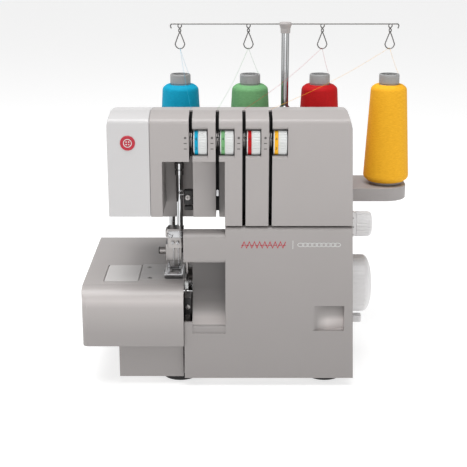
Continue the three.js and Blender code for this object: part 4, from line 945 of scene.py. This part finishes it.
def bed_details():
    """Screws and a crease on the bed, and the knife's bracket and guard."""
    for i, (x, y) in enumerate(((-115.1, -49.1), (-112.6, -85.4))):
        screwed(f"plate_screw_{i + 1}", "z", (x, y, 107), 2.6, 0.35, 1, body_of["needle_plate"])
    crease = tube([mm(-179.6, -108.7, 106.86), mm(-77.2, -108.7, 106.86)], 0.42 * MM, 10)
    make("plate_crease", *crease, "plate_slide", HOUSING)
    block("knife_bracket", (-76.4, -68.6), (-101.4, -99.9), (71.6, 90), "root", BLACK, 0.7)
    screwed("knife_screw", "y", (-72.4, -101.4, 80.6), 2.6, 1.2, -1, "root")
    block("knife_tip_guard", (-75.4, -71.6), (-104, -99), (101, 108.2), "root", WHITE, 0.8)


def rear_details():
    """Screws and a plain plate on the rear cover."""
    rear, raised = 48, 0.35
    for i, (x, z) in enumerate(((-24, 36), (88, 36), (-24, 236), (82, 236), (-98, 236))):
        screwed(f"rear_screw_{i + 1}", "y", (x, rear, z), 3.2, 0.9, 1, "root")
    plate = soft_block(mm(20, rear - 0.1, 190), mm(76, rear + raised, 224), 0.3 * MM, 2)
    make("rating_plate", *plate, "root", INSERT)
    lines = [print_line([(x0 * MM, z * MM), (x1 * MM, z * MM)], 0.6 * MM, (rear + raised) * MM, -PRINT)
             for x0, x1, z in ((24, 72, 219), (24, 60, 214), (24, 66, 209), (24, 52, 204), (24, 70, 196))]
    make("rating_lines", *joined(*lines), "root", PRINT_GREY)


needle_details()
bed_details()
rear_details()


# ---- Threads ------------------------------------------------------------------------------------
def free_threads():
    """Each thread rises from its cone to its loop, then falls to the top of its tension slot."""
    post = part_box("guide_wire")
    y = (post[0].y + post[1].y) / 2
    loops = loop_centres()
    bottom = post[0].z + 1.8 * MM
    steps, radius = 16, 0.13 * MM
    for i, colour in enumerate(SIDES):
        low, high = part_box(f"cone_core_{colour}")
        start = Vector(((low.x + high.x) / 2 + 9.6 * MM, y - 3 * MM, high.z + 0.6 * MM))
        eye = Vector((loops[i], y, bottom))
        slot_top = Vector((SLOT_XS[i], FRONT + 24 * MM, 286.4 * MM))
        for name, a, b, sag in (("rise", start, eye, 1.2), ("fall", slot_top, eye, 4)):
            line = [a.lerp(b, t / steps) - Vector((0, 0, sag * MM * math.sin(math.pi * t / steps)))
                    for t in range(steps + 1)]
            piece = make(f"thread_{name}_{colour}", *tube(line, radius, 6), None, THREADS[colour],
                         f"thread_{colour}", sharp=80)
            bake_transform(piece)


free_threads()


# ---- Camera, light and floor --------------------------------------------------------------------
def studio():
    """A white paper floor, an even sky that is dimmer overhead, two area lamps and the camera."""
    scene = bpy.context.scene
    looks_down = 16
    camera = bpy.data.objects.new("camera", bpy.data.cameras.new("camera"))
    camera.location = (-0.025, -1.1784, 0.4686)
    camera.rotation_euler = (math.radians(90 - looks_down), 0, 0)
    camera.data.sensor_width = 36
    camera.data.lens = 84.8
    camera.data.clip_end = 100
    scene.collection.objects.link(camera)
    scene.camera = camera

    reach = 30
    corners = [(-reach, -reach, 0), (reach, -reach, 0), (reach, reach, 0), (-reach, reach, 0)]
    floor_mesh = bpy.data.meshes.new("floor")
    floor_mesh.from_pydata(corners, [], [(0, 1, 2, 3)])
    floor = bpy.data.objects.new("floor", floor_mesh)
    scene.collection.objects.link(floor)
    paper, _, shader = new_material("floor_paper")
    shader.inputs["Base Color"].default_value = (0.5, 0.5, 0.5, 1)
    shader.inputs["Roughness"].default_value = 0.9
    shader.inputs["Specular IOR Level"].default_value = 0.1
    shader.inputs["Emission Color"].default_value = (1, 1, 1, 1)
    shader.inputs["Emission Strength"].default_value = 0.7
    floor_mesh.materials.append(paper)

    world = bpy.data.worlds.new("studio")
    world.use_nodes = True
    scene.world = world
    sky = world.node_tree
    background = sky.nodes["Background"]
    background.inputs["Color"].default_value = (1, 1, 1, 1)
    parts = node(sky, "ShaderNodeSeparateXYZ")
    sky.links.new(node(sky, "ShaderNodeTexCoord").outputs["Generated"], parts.inputs["Vector"])
    falling = node(sky, "ShaderNodeMapRange")
    for label, value in (("From Min", 0.1), ("From Max", 0.35), ("To Min", 1), ("To Max", 0.3)):
        falling.inputs[label].default_value = value
    sky.links.new(parts.outputs["Z"], falling.inputs["Value"])
    sky.links.new(falling.outputs["Result"], background.inputs["Strength"])

    def area(name, place, target, size, power):
        light = bpy.data.objects.new(name, bpy.data.lights.new(name, "AREA"))
        light.data.shape = "RECTANGLE"
        light.data.size, light.data.size_y = size
        light.data.energy = power
        light.location = place
        light.rotation_euler = (Vector(target) - Vector(place)).to_track_quat("-Z", "Y").to_euler()
        scene.collection.objects.link(light)

    area("overhead", (-0.25, -0.25, 1.7), (0, 0, 0.1), (1.8, 1.2), 30)
    area("front", (-0.3, -2.2, 0.9), (0, 0, 0.15), (1.6, 1.0), 4)
    scene.view_settings.view_transform = "Standard"


studio()
